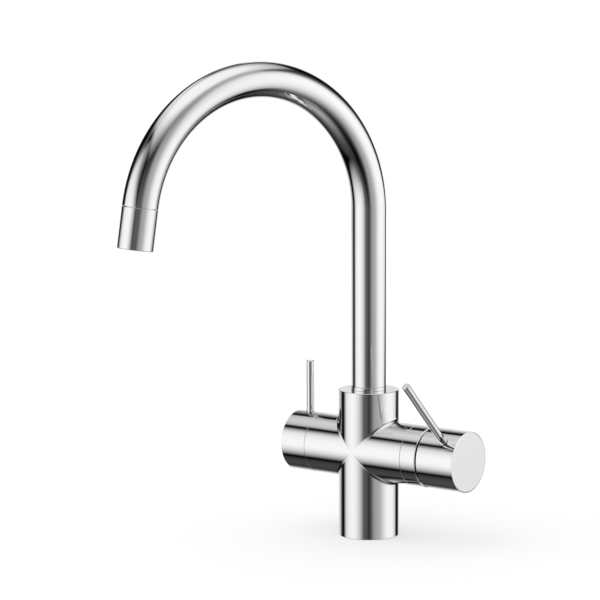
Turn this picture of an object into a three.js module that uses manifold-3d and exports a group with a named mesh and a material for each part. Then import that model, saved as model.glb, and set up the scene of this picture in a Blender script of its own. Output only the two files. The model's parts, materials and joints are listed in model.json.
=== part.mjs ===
// Three way filtered water tap: a cross-shaped body with a swan-neck spout on top, a side-lever mixer
// for hot and cold water on the right arm, and a quarter-turn lever for filtered water on the left arm.
// Millimetres, +Z up. The origin is the centre of the foot on the worktop, the arms lie along X and
// the user stands at -Y. The spout rests turned a little to the left, with its outlet towards the user.
import * as THREE from "three";
import { mergeVertices } from "three/addons/utils/BufferGeometryUtils.js";
import Module from "manifold-3d";

const wasm = await Module();
wasm.setup();

// Clearances
const SEAT_GAP = 0.3; // between pieces that touch or run in each other
const SEAM_GAP = 0.3; // at the thin seams of the arms
const MIXER_GAP = 1; // at rest, between the cover ring and the mixer cap
const OVERCUT = 1; // a cutting tool runs this far past the face that it opens
const MERGE_TOLERANCE = 1e-5;

// Cross-shaped body
const BODY_RADIUS = 24; // the upright and both arms
const BODY_HEIGHT = 117.8;
const ARM_HEIGHT = 69.5; // the arms' axis above the worktop
const CROSS_FILLET = 1.4; // rolling-ball fillet where the arms cross the upright
const FILLET_ROOT_DEPTH = 2; // the fillet's root, below the casting's skin
const BODY_RIM_CHAMFER = 0.9;
const SEAM_CHAMFER = 0.25;
const FOOT_BORE_RADIUS = 18.3;
const FOOT_BORE_DEPTH = 24;
const BASE_SEAL_RADIUS = 21.4; // centre line of the ring
const BASE_SEAL_SECTION = 0.9; // radius of its section

// Inlets
const INLET_PORT_RADIUS = 4.6; // for screwed M10 hose tails
const INLET_PORT_DEPTH = 14;
const WATER_WAY_RADIUS = 3.2;
const FILTER_WAY_RADIUS = 2.8; // filtered water, up to the valve
const RETURN_WAY_RADIUS = 1.8; // and back to the spout
const RETURN_WAY_DEPTH = 4; // its elbow, outside the valve bore
const RETURN_WAY_ANGLE = THREE.MathUtils.degToRad(54); // of the elbow, below the arm's axis
const MIXED_PORT_ACROSS = 9.4; // hot and cold ports, from the body's axis along X
const MIXED_PORT_SIDE = 7.6; // and to each side along Y
const FILTER_PORT_ACROSS = 11.5;
const FILTER_PORT_SIDE = 3;
const STUD_HOLE_RADIUS = 3.4; // tapped M8
const STUD_HOLE_DEPTH = 18;
const STUD_PITCH_RADIUS = 11;
const STUD_ANGLE = THREE.MathUtils.degToRad(115);

// Spout socket, from the top of the body downwards
const SPOUT_TAIL_RADIUS = 11.2;
const SPOUT_TAIL_BORE = 8.2;
const SPOUT_TAIL_SPIGOT = 13.4; // length inside the tube
const SOCKET_FLOOR_RISE = 4.5; // socket floor above the arms' axis
const BUSH_WALL = 1.8;
const BUSH_LENGTH = 17.8;
const CLIP_ROOM = 2.2; // below the bush
const TAIL_FOOT_GAP = 6; // below the tail, where the mixed water enters
const O_RING_SECTION = 0.8;
const WELL_DEPTH = 8; // seal chamber below the socket floor
const WELL_SEAL_SECTION = 0.6;
const LOWER_WELL_DEPTH = 11.5;

// Swan neck
const TUBE_RADIUS = 13.75;
const TUBE_WALL = 1.4;
const GLIDE_RING_HEIGHT = 2.2;
const SPRING_HEIGHT = 261.3; // where the bend starts
const BEND_RADIUS = 107.7;
const BEND_ANGLE = THREE.MathUtils.degToRad(171.2);
const SPOUT_REST_ANGLE = THREE.MathUtils.degToRad(-107.2); // of the outlet, from +X
const PIPE_RADIUS = 3.5; // filtered water pipe inside the swan neck
const PIPE_BORE = 2.3;
const PIPE_DIP = 2; // its lower end, below the seal's ledge
const TUBE_RUN_OUT = 0.03; // straight end of the tube after the bend

// Outlet
const SLEEVE_LENGTH = 32;
const SLEEVE_SPIGOT = 5;
const SLEEVE_BORE = 10.6;
const SLEEVE_CHAMFER = 0.4;
const AERATOR_LENGTH = 12.1;
const AERATOR_INSET = 1; // from the sleeve's end
const AERATOR_SEAL_THICKNESS = 1.6;
const JET_RADIUS = 0.8;
const JET_RINGS = [
  { pitchRadius: 7.2, count: 6 },
  { pitchRadius: 9.9, count: 9 },
];
const NOZZLE_RADIUS = 4.5;
const NOZZLE_BORE = 2.4;
const NOZZLE_WALL = 1.2; // round the pipe's end
const NOZZLE_FLANGE_RADIUS = 6.2;
const NOZZLE_FLANGE_THICKNESS = 1.7;
const NOZZLE_SOCKET_DEPTH = 5;

// Levers
const LEVER_RADIUS = 3;
const LEVER_TIP_CHAMFER = 0.5;
const LEVER_SEAT = 6; // inner end of a lever, from the arms' axis
const LUG_RADIUS = 5.5;
const LUG_INSET = 1; // the lug's end, below the skin
const FILTER_LEVER_LENGTH = 42.1; // beyond the knob's skin
const MIXER_LEVER_LENGTH = 73; // beyond the cap's skin
const MIXER_LEVER_ANGLE = THREE.MathUtils.degToRad(45); // forward of upright
const GRUB_RADIUS = 2;
const GRUB_LENGTH = 5;
const GRUB_KEY_RADIUS = 1.15;
const GRUB_KEY_DEPTH = 2;
const GRUB_KEY_SIDES = 6;
const SQUARE_HALF = 3.5; // half the width of the square drive ends

// Filtered water valve, outwards from the body's axis
const VALVE_DEPTH = 26.4; // bore floor behind the arm's end
const VALVE_BORE_RADIUS = 11;
const VALVE_GROOVE_DEPTH = 1.3; // round the bush, where the water leaves it
const VALVE_CHAMBER_ROOM = 3.8; // round the spindle, beyond its foot
const VALVE_OUTLET_RADIUS = 1.5; // four outlets in the bush's groove
const VALVE_FLANGE_RADIUS = 13.7;
const VALVE_FLANGE_THICKNESS = 6;
const VALVE_DISC_RADIUS = 8.3;
const VALVE_DISC_THICKNESS = 2.8;
const VALVE_WINDOW_RADIUS = 2.2;
const VALVE_WINDOW_PITCH = 4.6;
const NOSE_SEAL_RADIUS = 5.5;
const NOSE_SEAL_SECTION = 0.95;
const SPINDLE_RADIUS = 5.5;
const SPINDLE_FOOT_THICKNESS = 3;
const SPINDLE_SEAL_SECTION = 0.65;
const SPINDLE_SEAL_INSET = 5; // from the bush's outer end
const SPINDLE_LAND = 1.5; // between the clip's groove and the square end
const CLIP_THICKNESS = 1;
const CLIP_GROOVE_DEPTH = 1.1;
const CLIP_RIM = 2; // the clip stands this far out of the spindle
const CLIP_MOUTH = 0.33; // half the open mouth of a clip, to its inner radius
const TONGUE_WIDTH = 3;
const TONGUE_LENGTH = 12;
const TONGUE_HEIGHT = 1.8;

// Filter knob
const KNOB_LENGTH = 23;
const KNOB_WALL = 3.2;
const KNOB_END_WALL = 3.5;
const KNOB_BOSS_RADIUS = 8.5;
const KNOB_BOSS_INSET = 4.3; // boss behind the knob's open rim
const KNOB_SQUARE_INSET = 1; // end of the square hole, before the end wall
const KNOB_LEVER_INSET = 11.7; // lever axis from the knob's end face
const KNOB_END_CHAMFER = 0.8;

// Mixer cartridge, outwards from its seat in the right arm
const MIXER_SEAT = 24; // bore floor from the body's axis
const CARTRIDGE_DEPTH = 22.7; // bore floor behind the arm's end
const CARTRIDGE_RADIUS = 17.5;
const CARTRIDGE_NECK_RADIUS = 16.2;
const CARTRIDGE_WALL = 1.6;
const CARTRIDGE_BASE_THICKNESS = 4.3;
const CARTRIDGE_SHOULDER = 14; // shoulder from the bore floor
const PORT_SEAL_RADIUS = 4.6;
const PORT_SEAL_SECTION = 0.7;
const INLET_PORT_DROP = 6; // hot and cold ports below the arms' axis
const OUTLET_PORT_RISE = 9; // mixed port above it
const MIXER_DISC_THICKNESS = 4;
const DISC_PORT_RADIUS = 2.8;
const MOVING_DISC_RADIUS = 12;
const MOVING_DISC_POCKET = 8.4;
const MOVING_DISC_POCKET_DEPTH = 2;
const DRIVER_THICKNESS = 5;
const CARRIER_TOP_RISE = 2.6; // carrier above the pivot
const CARRIER_COLLAR_HEIGHT = 3.4;
const CARTRIDGE_TOP_THICKNESS = 2.6;
const CARTRIDGE_MOUTH_RADIUS = 8;
const PIVOT_PIN_RADIUS = 1.5;
const PIVOT_PIN_LENGTH = 25;
const STEM_ARM = 11.5; // from the pivot to the stem's ball
const STEM_BALL_RADIUS = 3;
const STEM_NECK_RADIUS = 2.4;
const STEM_NECK_LENGTH = 5.5;
const LIFT_ANGLE = THREE.MathUtils.degToRad(20); // full flow
const NUT_RADIUS = 20;
const NUT_HUB_RADIUS = 19;

// Mixer cap and cover ring
const COVER_RING_LENGTH = 13.7;
const COVER_RING_LIP = 2.5;
const CAP_LENGTH = 34.3;
const CAP_WALL = 3.4;
const CAP_END_WALL = 4;
const CAP_BOSS_RADIUS = 9;
const CAP_BOSS_INSET = 4.3;
const CAP_LEVER_INSET = 12.2; // lever axis from the cap's end face
const CAP_GRUB_INSET = 12.3; // grub screw from the cap's rim
const CAP_SQUARE_LENGTH = 21; // of the square hole in the boss
const GAP_CHAMFER = 1.1; // both edges of the mixer's gap
const CAP_END_CHAMFER = 1.2;

// Facets
const LARGE_FACETS = 48;
const ROUND_FACETS = 20;
const TUBE_FACETS = 24;
const TUBE_BORE_FACETS = 20;
const PIPE_FACETS = 8;
const PIPE_BORE_FACETS = 6;
const SMALL_FACETS = 10;
const RING_FACETS = 16;
const SECTION_FACETS = 5;
const FILLET_STATIONS = 20; // one at each facet's edge, to where the fillet has narrowed to a line
const FILLET_ARC_STEPS = 2;
const BEND_STEPS = 24;

// Derived places along the upright
const SOCKET_RADIUS = SPOUT_TAIL_RADIUS + SEAT_GAP;
const SOCKET_FLOOR = ARM_HEIGHT + SOCKET_FLOOR_RISE;
const BUSH_RADIUS = SOCKET_RADIUS + BUSH_WALL;
const BUSH_TOP = BODY_HEIGHT - SEAT_GAP;
const BUSH_BOTTOM = BUSH_TOP - BUSH_LENGTH;
const RECESS_BOTTOM = BUSH_BOTTOM - CLIP_ROOM;
const TAIL_BOTTOM = SOCKET_FLOOR + TAIL_FOOT_GAP;
const WELL_LEDGE = SOCKET_FLOOR - WELL_DEPTH;
const WELL_BOTTOM = WELL_LEDGE - LOWER_WELL_DEPTH;
const PIPE_HOLE_RADIUS = PIPE_RADIUS + SEAT_GAP;
const WELL_RADIUS = PIPE_HOLE_RADIUS + 2 * WELL_SEAL_SECTION + SEAT_GAP;
const GLIDE_RING_BOTTOM = BODY_HEIGHT + SEAT_GAP;
const TUBE_BOTTOM = GLIDE_RING_BOTTOM + GLIDE_RING_HEIGHT + SEAT_GAP;
const TUBE_BORE = TUBE_RADIUS - TUBE_WALL;
const MIXED_PORT_HEIGHT = ARM_HEIGHT - INLET_PORT_DROP;
const SPOUT_CLIP = BUSH_BOTTOM - SEAT_GAP - CLIP_THICKNESS;
const O_RING_SPACING = (SPOUT_CLIP - TAIL_BOTTOM) / 3; // both rings, between the tail's end and the clip
const O_RING_HEIGHTS = [TAIL_BOTTOM + O_RING_SPACING, TAIL_BOTTOM + 2 * O_RING_SPACING];
const O_RING_GROOVE = SPOUT_TAIL_RADIUS - 2 * O_RING_SECTION - SEAT_GAP;

// Derived places along the arms, from the body's axis outwards
const ARM_REACH = MIXER_SEAT + CARTRIDGE_DEPTH;
const VALVE_FLOOR = ARM_REACH - VALVE_DEPTH;
const VALVE_BUSH_RADIUS = VALVE_BORE_RADIUS - SEAT_GAP;
const VALVE_END = ARM_REACH - SEAT_GAP;
const VALVE_FLANGE_START = VALVE_END - VALVE_FLANGE_THICKNESS;
const VALVE_NOSE = VALVE_FLOOR + 2 * SEAT_GAP + 2 * NOSE_SEAL_SECTION;
const VALVE_FIXED_DISC = VALVE_NOSE;
const VALVE_MOVING_DISC = VALVE_FIXED_DISC + VALVE_DISC_THICKNESS + SEAT_GAP;
const SPINDLE_FOOT = VALVE_MOVING_DISC + VALVE_DISC_THICKNESS + SEAT_GAP;
const SPINDLE_SHAFT = SPINDLE_FOOT + SPINDLE_FOOT_THICKNESS;
const VALVE_CHAMBER_END = SPINDLE_SHAFT + VALVE_CHAMBER_ROOM;
const VALVE_CHAMBER_RADIUS = VALVE_DISC_RADIUS + SEAT_GAP;
const VALVE_OUTLETS = SPINDLE_SHAFT + VALVE_CHAMBER_ROOM / 2;
const SPINDLE_SEAL = VALVE_END - SPINDLE_SEAL_INSET;
const SPINDLE_CLIP = VALVE_END + SEAT_GAP;
const KNOB_START = ARM_REACH + SEAM_GAP;
const KNOB_END = KNOB_START + KNOB_LENGTH;
const KNOB_BOSS_START = KNOB_START + KNOB_BOSS_INSET;
const KNOB_BOSS_END = KNOB_END - KNOB_END_WALL;
const KNOB_SQUARE_END = KNOB_BOSS_END - KNOB_SQUARE_INSET;
const KNOB_LEVER = KNOB_END - KNOB_LEVER_INSET;

const CARTRIDGE_BASE = MIXER_SEAT + SEAT_GAP;
const CARTRIDGE_BASE_TOP = CARTRIDGE_BASE + CARTRIDGE_BASE_THICKNESS;
const CARTRIDGE_BORE = CARTRIDGE_NECK_RADIUS - CARTRIDGE_WALL;
const CARTRIDGE_PIECE_RADIUS = CARTRIDGE_BORE - SEAT_GAP;
const SHOULDER = MIXER_SEAT + CARTRIDGE_SHOULDER;
const FIXED_DISC = CARTRIDGE_BASE_TOP + SEAT_GAP;
const MOVING_DISC = FIXED_DISC + MIXER_DISC_THICKNESS + SEAT_GAP;
const DRIVER = MOVING_DISC + MIXER_DISC_THICKNESS + SEAT_GAP;
const DRIVER_TOP = DRIVER + DRIVER_THICKNESS;
const STEM_BALL = DRIVER + STEM_BALL_RADIUS;
const PIVOT = STEM_BALL + STEM_ARM;
const DISC_TRAVEL = STEM_ARM * LIFT_ANGLE;
const CARRIER_BOTTOM = DRIVER_TOP + SEAT_GAP;
const CARRIER_TOP = PIVOT + CARRIER_TOP_RISE;
const CARTRIDGE_TOP_INSIDE = CARRIER_TOP + SEAT_GAP;
const CARTRIDGE_END = CARTRIDGE_TOP_INSIDE + CARTRIDGE_TOP_THICKNESS;
const NUT_BORE = CARTRIDGE_NECK_RADIUS + SEAT_GAP;
const NUT_RIM_END = ARM_REACH - SEAT_GAP;
const COVER_RING_START = ARM_REACH + SEAM_GAP;
const COVER_RING_END = COVER_RING_START + COVER_RING_LENGTH;
const COVER_RING_LIP_START = COVER_RING_END - COVER_RING_LIP;
const NUT_HUB_END = COVER_RING_LIP_START - SEAT_GAP;
const CAP_START = COVER_RING_END + MIXER_GAP;
const CAP_END = CAP_START + CAP_LENGTH;
const CAP_CAVITY_END = CAP_END - CAP_END_WALL;
const CAP_BOSS_START = CAP_START + CAP_BOSS_INSET;
const CAP_SQUARE_END = CAP_BOSS_START + CAP_SQUARE_LENGTH;
const CAP_LEVER = CAP_END - CAP_LEVER_INSET;
const CAP_GRUB = CAP_START + CAP_GRUB_INSET;
const LEVER_HOLE_RADIUS = LEVER_RADIUS + SEAT_GAP;
const GRUB_HOLE_RADIUS = GRUB_RADIUS + SEAT_GAP;
const SQUARE_HOLE_HALF = SQUARE_HALF + SEAT_GAP;

// Derived places along the outlet, from the end of the bend
const AERATOR_END = SLEEVE_LENGTH - AERATOR_INSET;
const AERATOR_START = AERATOR_END - AERATOR_LENGTH;
const AERATOR_SEAL_START = AERATOR_START - SEAT_GAP - AERATOR_SEAL_THICKNESS;
const SLEEVE_SHOULDER = AERATOR_SEAL_START - SEAT_GAP;
const AERATOR_RADIUS = TUBE_BORE - SEAT_GAP;
const NOZZLE_FLANGE_START = AERATOR_START - SEAT_GAP - NOZZLE_FLANGE_THICKNESS;
const NOZZLE_START = NOZZLE_FLANGE_START - NOZZLE_SOCKET_DEPTH;
const PIPE_END = NOZZLE_FLANGE_START - SEAT_GAP;

// ---- Solids -------------------------------------------------------------------------------------

/** Turns a closed geometry into a solid that can be joined and cut. */
function solidOf(geometry) {
  const bare = geometry.clone();
  bare.deleteAttribute("normal");
  bare.deleteAttribute("uv");
  const merged = mergeVertices(bare, MERGE_TOLERANCE);
  return new wasm.Manifold(
    new wasm.Mesh({
      numProp: 3,
      vertProperties: merged.getAttribute("position").array,
      triVerts: withoutSlivers(merged.index.array),
    }),
  );
}

/** Leaves out the triangles that have shrunk to a line on an axis. */
function withoutSlivers(index) {
  const kept = [];
  for (let i = 0; i < index.length; i += 3) {
    const [a, b, c] = index.slice(i, i + 3);
    if (a !== b && b !== c && c !== a) kept.push(a, b, c);
  }
  return new Uint32Array(kept);
}

/** Turns a solid back into a geometry. */
function geometryOf(solid) {
  const { vertProperties, triVerts } = solid.getMesh();
  const geometry = new THREE.BufferGeometry();
  geometry.setAttribute("position", new THREE.BufferAttribute(vertProperties, 3));
  geometry.setIndex(new THREE.BufferAttribute(triVerts, 1));
  geometry.computeVertexNormals();
  return geometry;
}

function join(...geometries) {
  return geometryOf(geometries.map(solidOf).reduce((whole, piece) => whole.add(piece)));
}

function cut(geometry, ...tools) {
  return geometryOf(tools.map(solidOf).reduce((whole, tool) => whole.subtract(tool), solidOf(geometry)));
}

/** Revolves an outline of [radius, height] points, listed counter-clockwise, about +Z. */
function revolve(outline, facets = ROUND_FACETS) {
  const points = outline.map(([radius, height]) => new THREE.Vector2(radius, height));
  return new THREE.LatheGeometry(points, facets).rotateX(Math.PI / 2);
}

/** A round bar between two heights, with an optional chamfer at each end. */
function bar(radius, low, high, { facets = ROUND_FACETS, lowChamfer = 0, highChamfer = 0 } = {}) {
  const outline = [[0, low], [radius - lowChamfer, low]];
  if (lowChamfer > 0) outline.push([radius, low + lowChamfer]);
  outline.push([radius, high - highChamfer]);
  if (highChamfer > 0) outline.push([radius - highChamfer, high]);
  outline.push([0, high]);
  return revolve(outline, facets);
}

/** A ring of rectangular section. */
function ring(inner, outer, low, high, facets = ROUND_FACETS) {
  return revolve([[inner, low], [outer, low], [outer, high], [inner, high], [inner, low]], facets);
}

/** A rubber ring of round section, lying flat at a height. */
function oRing(radius, section, height, facets = RING_FACETS) {
  return new THREE.TorusGeometry(radius, section, SECTION_FACETS, facets).translate(0, 0, height);
}

/** A snap ring: flat, with an open mouth towards -X. */
function snapRing(inner, outer, low, high) {
  const half = inner * CLIP_MOUTH;
  const mouth = box([-outer - OVERCUT, 0], [-half, half], [low - OVERCUT, high + OVERCUT]);
  return cut(ring(inner, outer, low, high), mouth);
}

/** A straight round tool between two points. */
function drill(from, to, radius, facets = SMALL_FACETS) {
  const start = new THREE.Vector3(...from);
  const run = new THREE.Vector3(...to).sub(start);
  const along = run.clone().normalize();
  const turn = new THREE.Quaternion().setFromUnitVectors(new THREE.Vector3(0, 1, 0), along);
  const middle = start.addScaledVector(run, 0.5);
  return new THREE.CylinderGeometry(radius, radius, run.length(), facets)
    .applyQuaternion(turn)
    .translate(middle.x, middle.y, middle.z);
}

/** A box between pairs of [low, high] along X, Y and Z. */
function box([x0, x1], [y0, y1], [z0, z1]) {
  const block = new THREE.BoxGeometry(x1 - x0, y1 - y0, z1 - z0);
  return block.translate((x0 + x1) / 2, (y0 + y1) / 2, (z0 + z1) / 2);
}

/** A square bar or hole along Z. */
function square(half, low, high) {
  return box([-half, half], [-half, half], [low, high]);
}

// ---- Frames: each arm's +Z runs outwards along it and its +X points up --------------------------

const RIGHT_ARM = new THREE.Matrix4()
  .makeBasis(new THREE.Vector3(0, 0, 1), new THREE.Vector3(0, -1, 0), new THREE.Vector3(1, 0, 0))
  .setPosition(0, 0, ARM_HEIGHT);
const LEFT_ARM = new THREE.Matrix4()
  .makeBasis(new THREE.Vector3(0, 0, 1), new THREE.Vector3(0, 1, 0), new THREE.Vector3(-1, 0, 0))
  .setPosition(0, 0, ARM_HEIGHT);

function frame(matrix, ...children) {
  const group = new THREE.Group();
  group.applyMatrix4(matrix);
  group.add(...children);
  return group;
}

// ---- Finishes -----------------------------------------------------------------------------------

const FINISHES = {
  chrome: { color: 0xdfe1e3, roughness: 0.04, metalness: 1 },
  brass: { color: 0xb9924a, roughness: 0.35, metalness: 1 },
  steel: { color: 0xa9abad, roughness: 0.3, metalness: 1 },
  rubber: { color: 0x1b1b1c, roughness: 0.8, metalness: 0 },
  plastic: { color: 0xd8d9d6, roughness: 0.5, metalness: 0 },
  greyPlastic: { color: 0x6d7074, roughness: 0.5, metalness: 0 },
  ceramic: { color: 0xf2efe8, roughness: 0.2, metalness: 0 },
};

function piece(name, finish, geometry) {
  const mesh = new THREE.Mesh(geometry, new THREE.MeshStandardMaterial(FINISHES[finish]));
  mesh.name = name;
  return mesh;
}

// ---- Body casting -------------------------------------------------------------------------------

/** The outline of the fillet between arm and upright, across its length, at one station. */
function filletSection(angle) {
  const ball = BODY_RADIUS + CROSS_FILLET;
  const [c, s] = [Math.cos(angle), Math.sin(angle)];
  const centre = new THREE.Vector3(ball * c, ball * s, ball * c);
  const toUpright = new THREE.Vector3(-c, -s, 0);
  const toArm = new THREE.Vector3(0, -s, -c);
  const between = toUpright.angleTo(toArm);
  const points = [];
  for (let step = 0; step <= FILLET_ARC_STEPS; step += 1) {
    const turned = (between * step) / FILLET_ARC_STEPS;
    const reach = toUpright
      .clone()
      .multiplyScalar(Math.sin(between - turned))
      .addScaledVector(toArm, Math.sin(turned))
      .divideScalar(Math.sin(between));
    points.push(centre.clone().addScaledVector(reach, CROSS_FILLET));
  }
  const root = BODY_RADIUS - FILLET_ROOT_DEPTH;
  points.push(new THREE.Vector3(root * c, root * s, root * c));
  return points;
}

/** One quarter of the fillet: it rounds the upper right crossing and narrows to a point front and back. */
function filletStrip() {
  const facet = (2 * Math.PI) / LARGE_FACETS;
  const sections = [];
  for (let station = 0; station <= FILLET_STATIONS; station += 1) {
    sections.push(filletSection((station - FILLET_STATIONS / 2) * facet));
  }
  const count = sections[0].length;
  const index = [];
  for (let station = 0; station < FILLET_STATIONS; station += 1) {
    for (let corner = 0; corner < count; corner += 1) {
      const next = (corner + 1) % count;
      const [a, b] = [station * count + corner, station * count + next];
      index.push(a, b, a + count, b, b + count, a + count);
    }
  }
  for (let corner = 1; corner < count - 1; corner += 1) {
    const last = FILLET_STATIONS * count;
    index.push(0, corner + 1, corner, last, last + corner, last + corner + 1);
  }
  const geometry = new THREE.BufferGeometry().setFromPoints(sections.flat());
  geometry.setIndex(index);
  return geometry;
}

/** Mirrors a geometry by signs along X and Z, with its faces still pointing out. */
function mirrored(geometry, signX, signZ) {
  const copy = geometry.clone().scale(signX, 1, signZ);
  const turned = copy.index.array.slice();
  if (signX * signZ < 0) {
    for (let i = 0; i < turned.length; i += 3) [turned[i], turned[i + 1]] = [turned[i + 1], turned[i]];
  }
  copy.setIndex(new THREE.BufferAttribute(turned, 1));
  return copy;
}

function bodyOutside() {
  const upright = bar(BODY_RADIUS, 0, BODY_HEIGHT, {
    facets: LARGE_FACETS,
    lowChamfer: SEAM_CHAMFER,
    highChamfer: BODY_RIM_CHAMFER,
  });
  const arms = bar(BODY_RADIUS, -ARM_REACH, ARM_REACH, {
    facets: LARGE_FACETS,
    lowChamfer: SEAM_CHAMFER,
    highChamfer: SEAM_CHAMFER,
  }).applyMatrix4(RIGHT_ARM);
  const strip = filletStrip();
  const strips = [];
  for (const signX of [-1, 1]) {
    for (const signZ of [-1, 1]) strips.push(mirrored(strip, signX, signZ).translate(0, 0, ARM_HEIGHT));
  }
  return join(upright, arms, ...strips);
}

function bodyBores() {
  const armEnd = ARM_REACH + OVERCUT;
  const upright = [
    bar(BUSH_RADIUS + SEAT_GAP, RECESS_BOTTOM, BODY_HEIGHT + OVERCUT),
    bar(SOCKET_RADIUS, SOCKET_FLOOR, RECESS_BOTTOM + OVERCUT),
    bar(WELL_RADIUS, WELL_LEDGE, SOCKET_FLOOR + OVERCUT, { facets: SMALL_FACETS }),
    bar(PIPE_HOLE_RADIUS, WELL_BOTTOM, WELL_LEDGE + OVERCUT, { facets: SMALL_FACETS }),
    bar(FOOT_BORE_RADIUS, -OVERCUT, FOOT_BORE_DEPTH),
  ];
  const right = [
    bar(CARTRIDGE_RADIUS + SEAT_GAP, MIXER_SEAT, armEnd),
    bar(NUT_RADIUS + SEAT_GAP, SHOULDER, armEnd),
  ];
  const left = [
    bar(VALVE_BORE_RADIUS, VALVE_FLOOR, armEnd),
    bar(VALVE_FLANGE_RADIUS + SEAT_GAP, VALVE_FLANGE_START - SEAT_GAP, armEnd),
  ];
  for (const bore of right) bore.applyMatrix4(RIGHT_ARM);
  for (const bore of left) bore.applyMatrix4(LEFT_ARM);
  return [...upright, ...right, ...left];
}

function baseSealGroove() {
  const half = BASE_SEAL_SECTION + SEAT_GAP;
  const depth = 2 * BASE_SEAL_SECTION + SEAT_GAP;
  return ring(BASE_SEAL_RADIUS - half, BASE_SEAL_RADIUS + half, -OVERCUT, depth);
}

/** Hot and cold rise from the foot and turn outwards to the cartridge, and mixed water turns back in. */
function mixedWaterWays() {
  const ways = [];
  for (const side of [-1, 1]) {
    const [x, y, z] = [MIXED_PORT_ACROSS, side * MIXED_PORT_SIDE, MIXED_PORT_HEIGHT];
    ways.push(drill([x, y, FOOT_BORE_DEPTH - OVERCUT], [x, y, z + WATER_WAY_RADIUS], WATER_WAY_RADIUS));
    ways.push(drill([x, y, z], [MIXER_SEAT + OVERCUT, y, z], WATER_WAY_RADIUS));
  }
  const outlet = ARM_HEIGHT + OUTLET_PORT_RISE;
  const start = SOCKET_RADIUS - WATER_WAY_RADIUS;
  ways.push(drill([start, 0, outlet], [MIXER_SEAT + OVERCUT, 0, outlet], WATER_WAY_RADIUS));
  return ways;
}

/** Filtered water rises to the valve's nose and returns under the bore to the well below the spout. */
function filteredWaterWays() {
  const [x, y] = [-FILTER_PORT_ACROSS, -FILTER_PORT_SIDE];
  const returnPoint = (reach) => [
    -VALVE_OUTLETS,
    reach * Math.cos(RETURN_WAY_ANGLE),
    ARM_HEIGHT - reach * Math.sin(RETURN_WAY_ANGLE),
  ];
  const elbow = VALVE_BORE_RADIUS + RETURN_WAY_DEPTH;
  const start = returnPoint(VALVE_BORE_RADIUS - RETURN_WAY_RADIUS);
  const end = [0, 0, WELL_BOTTOM + RETURN_WAY_RADIUS];
  return [
    drill([x, y, FOOT_BORE_DEPTH - OVERCUT], [x, y, ARM_HEIGHT + FILTER_WAY_RADIUS], FILTER_WAY_RADIUS),
    drill([x, 0, ARM_HEIGHT], [-VALVE_FLOOR - OVERCUT, 0, ARM_HEIGHT], FILTER_WAY_RADIUS),
    drill(start, returnPoint(elbow + RETURN_WAY_RADIUS), RETURN_WAY_RADIUS),
    drill(returnPoint(elbow), end, RETURN_WAY_RADIUS),
  ];
}

function bodyCasting() {
  const tools = [...bodyBores(), baseSealGroove(), ...mixedWaterWays(), ...filteredWaterWays()];
  return piece("body_casting", "chrome", cut(bodyOutside(), ...tools));
}

function baseSeal() {
  const seal = oRing(BASE_SEAL_RADIUS, BASE_SEAL_SECTION, BASE_SEAL_SECTION, 2 * RING_FACETS);
  return piece("base_seal", "rubber", seal);
}

/** The foot's insert: three tapped ports for the hoses, and a blind tapped hole for the fixing stud. */
function inletBlock() {
  const top = FOOT_BORE_DEPTH - SEAT_GAP;
  const ports = [
    [MIXED_PORT_ACROSS, MIXED_PORT_SIDE],
    [MIXED_PORT_ACROSS, -MIXED_PORT_SIDE],
    [-FILTER_PORT_ACROSS, -FILTER_PORT_SIDE],
  ];
  const tools = ports.flatMap(([x, y]) => [
    drill([x, y, -OVERCUT], [x, y, INLET_PORT_DEPTH], INLET_PORT_RADIUS),
    drill([x, y, INLET_PORT_DEPTH - OVERCUT], [x, y, top + OVERCUT], WATER_WAY_RADIUS),
  ]);
  const studX = STUD_PITCH_RADIUS * Math.cos(STUD_ANGLE);
  const studY = STUD_PITCH_RADIUS * Math.sin(STUD_ANGLE);
  tools.push(drill([studX, studY, -OVERCUT], [studX, studY, STUD_HOLE_DEPTH], STUD_HOLE_RADIUS));
  return piece("inlet_block", "brass", cut(bar(FOOT_BORE_RADIUS - SEAT_GAP, 0, top), ...tools));
}

function spoutSocketBush() {
  return piece("spout_socket_bush", "plastic", ring(SOCKET_RADIUS, BUSH_RADIUS, BUSH_BOTTOM, BUSH_TOP));
}

function spoutWellSeal() {
  const radius = PIPE_HOLE_RADIUS + WELL_SEAL_SECTION;
  const height = WELL_LEDGE + SEAT_GAP + WELL_SEAL_SECTION;
  return piece("spout_well_seal", "rubber", oRing(radius, WELL_SEAL_SECTION, height));
}

// ---- Filtered water valve, in the left arm's frame ----------------------------------------------

function valveNoseSeal() {
  const place = VALVE_FLOOR + SEAT_GAP + NOSE_SEAL_SECTION;
  return piece("filter_nose_seal", "rubber", oRing(NOSE_SEAL_RADIUS, NOSE_SEAL_SECTION, place));
}

function valveFixedDisc() {
  const disc = bar(VALVE_DISC_RADIUS, VALVE_FIXED_DISC, VALVE_FIXED_DISC + VALVE_DISC_THICKNESS);
  const windows = [-1, 1].map((side) => {
    const x = side * VALVE_WINDOW_PITCH;
    return drill([x, 0, VALVE_FIXED_DISC - OVERCUT], [x, 0, VALVE_MOVING_DISC], VALVE_WINDOW_RADIUS);
  });
  return piece("filter_fixed_disc", "ceramic", cut(disc, ...windows));
}

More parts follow.
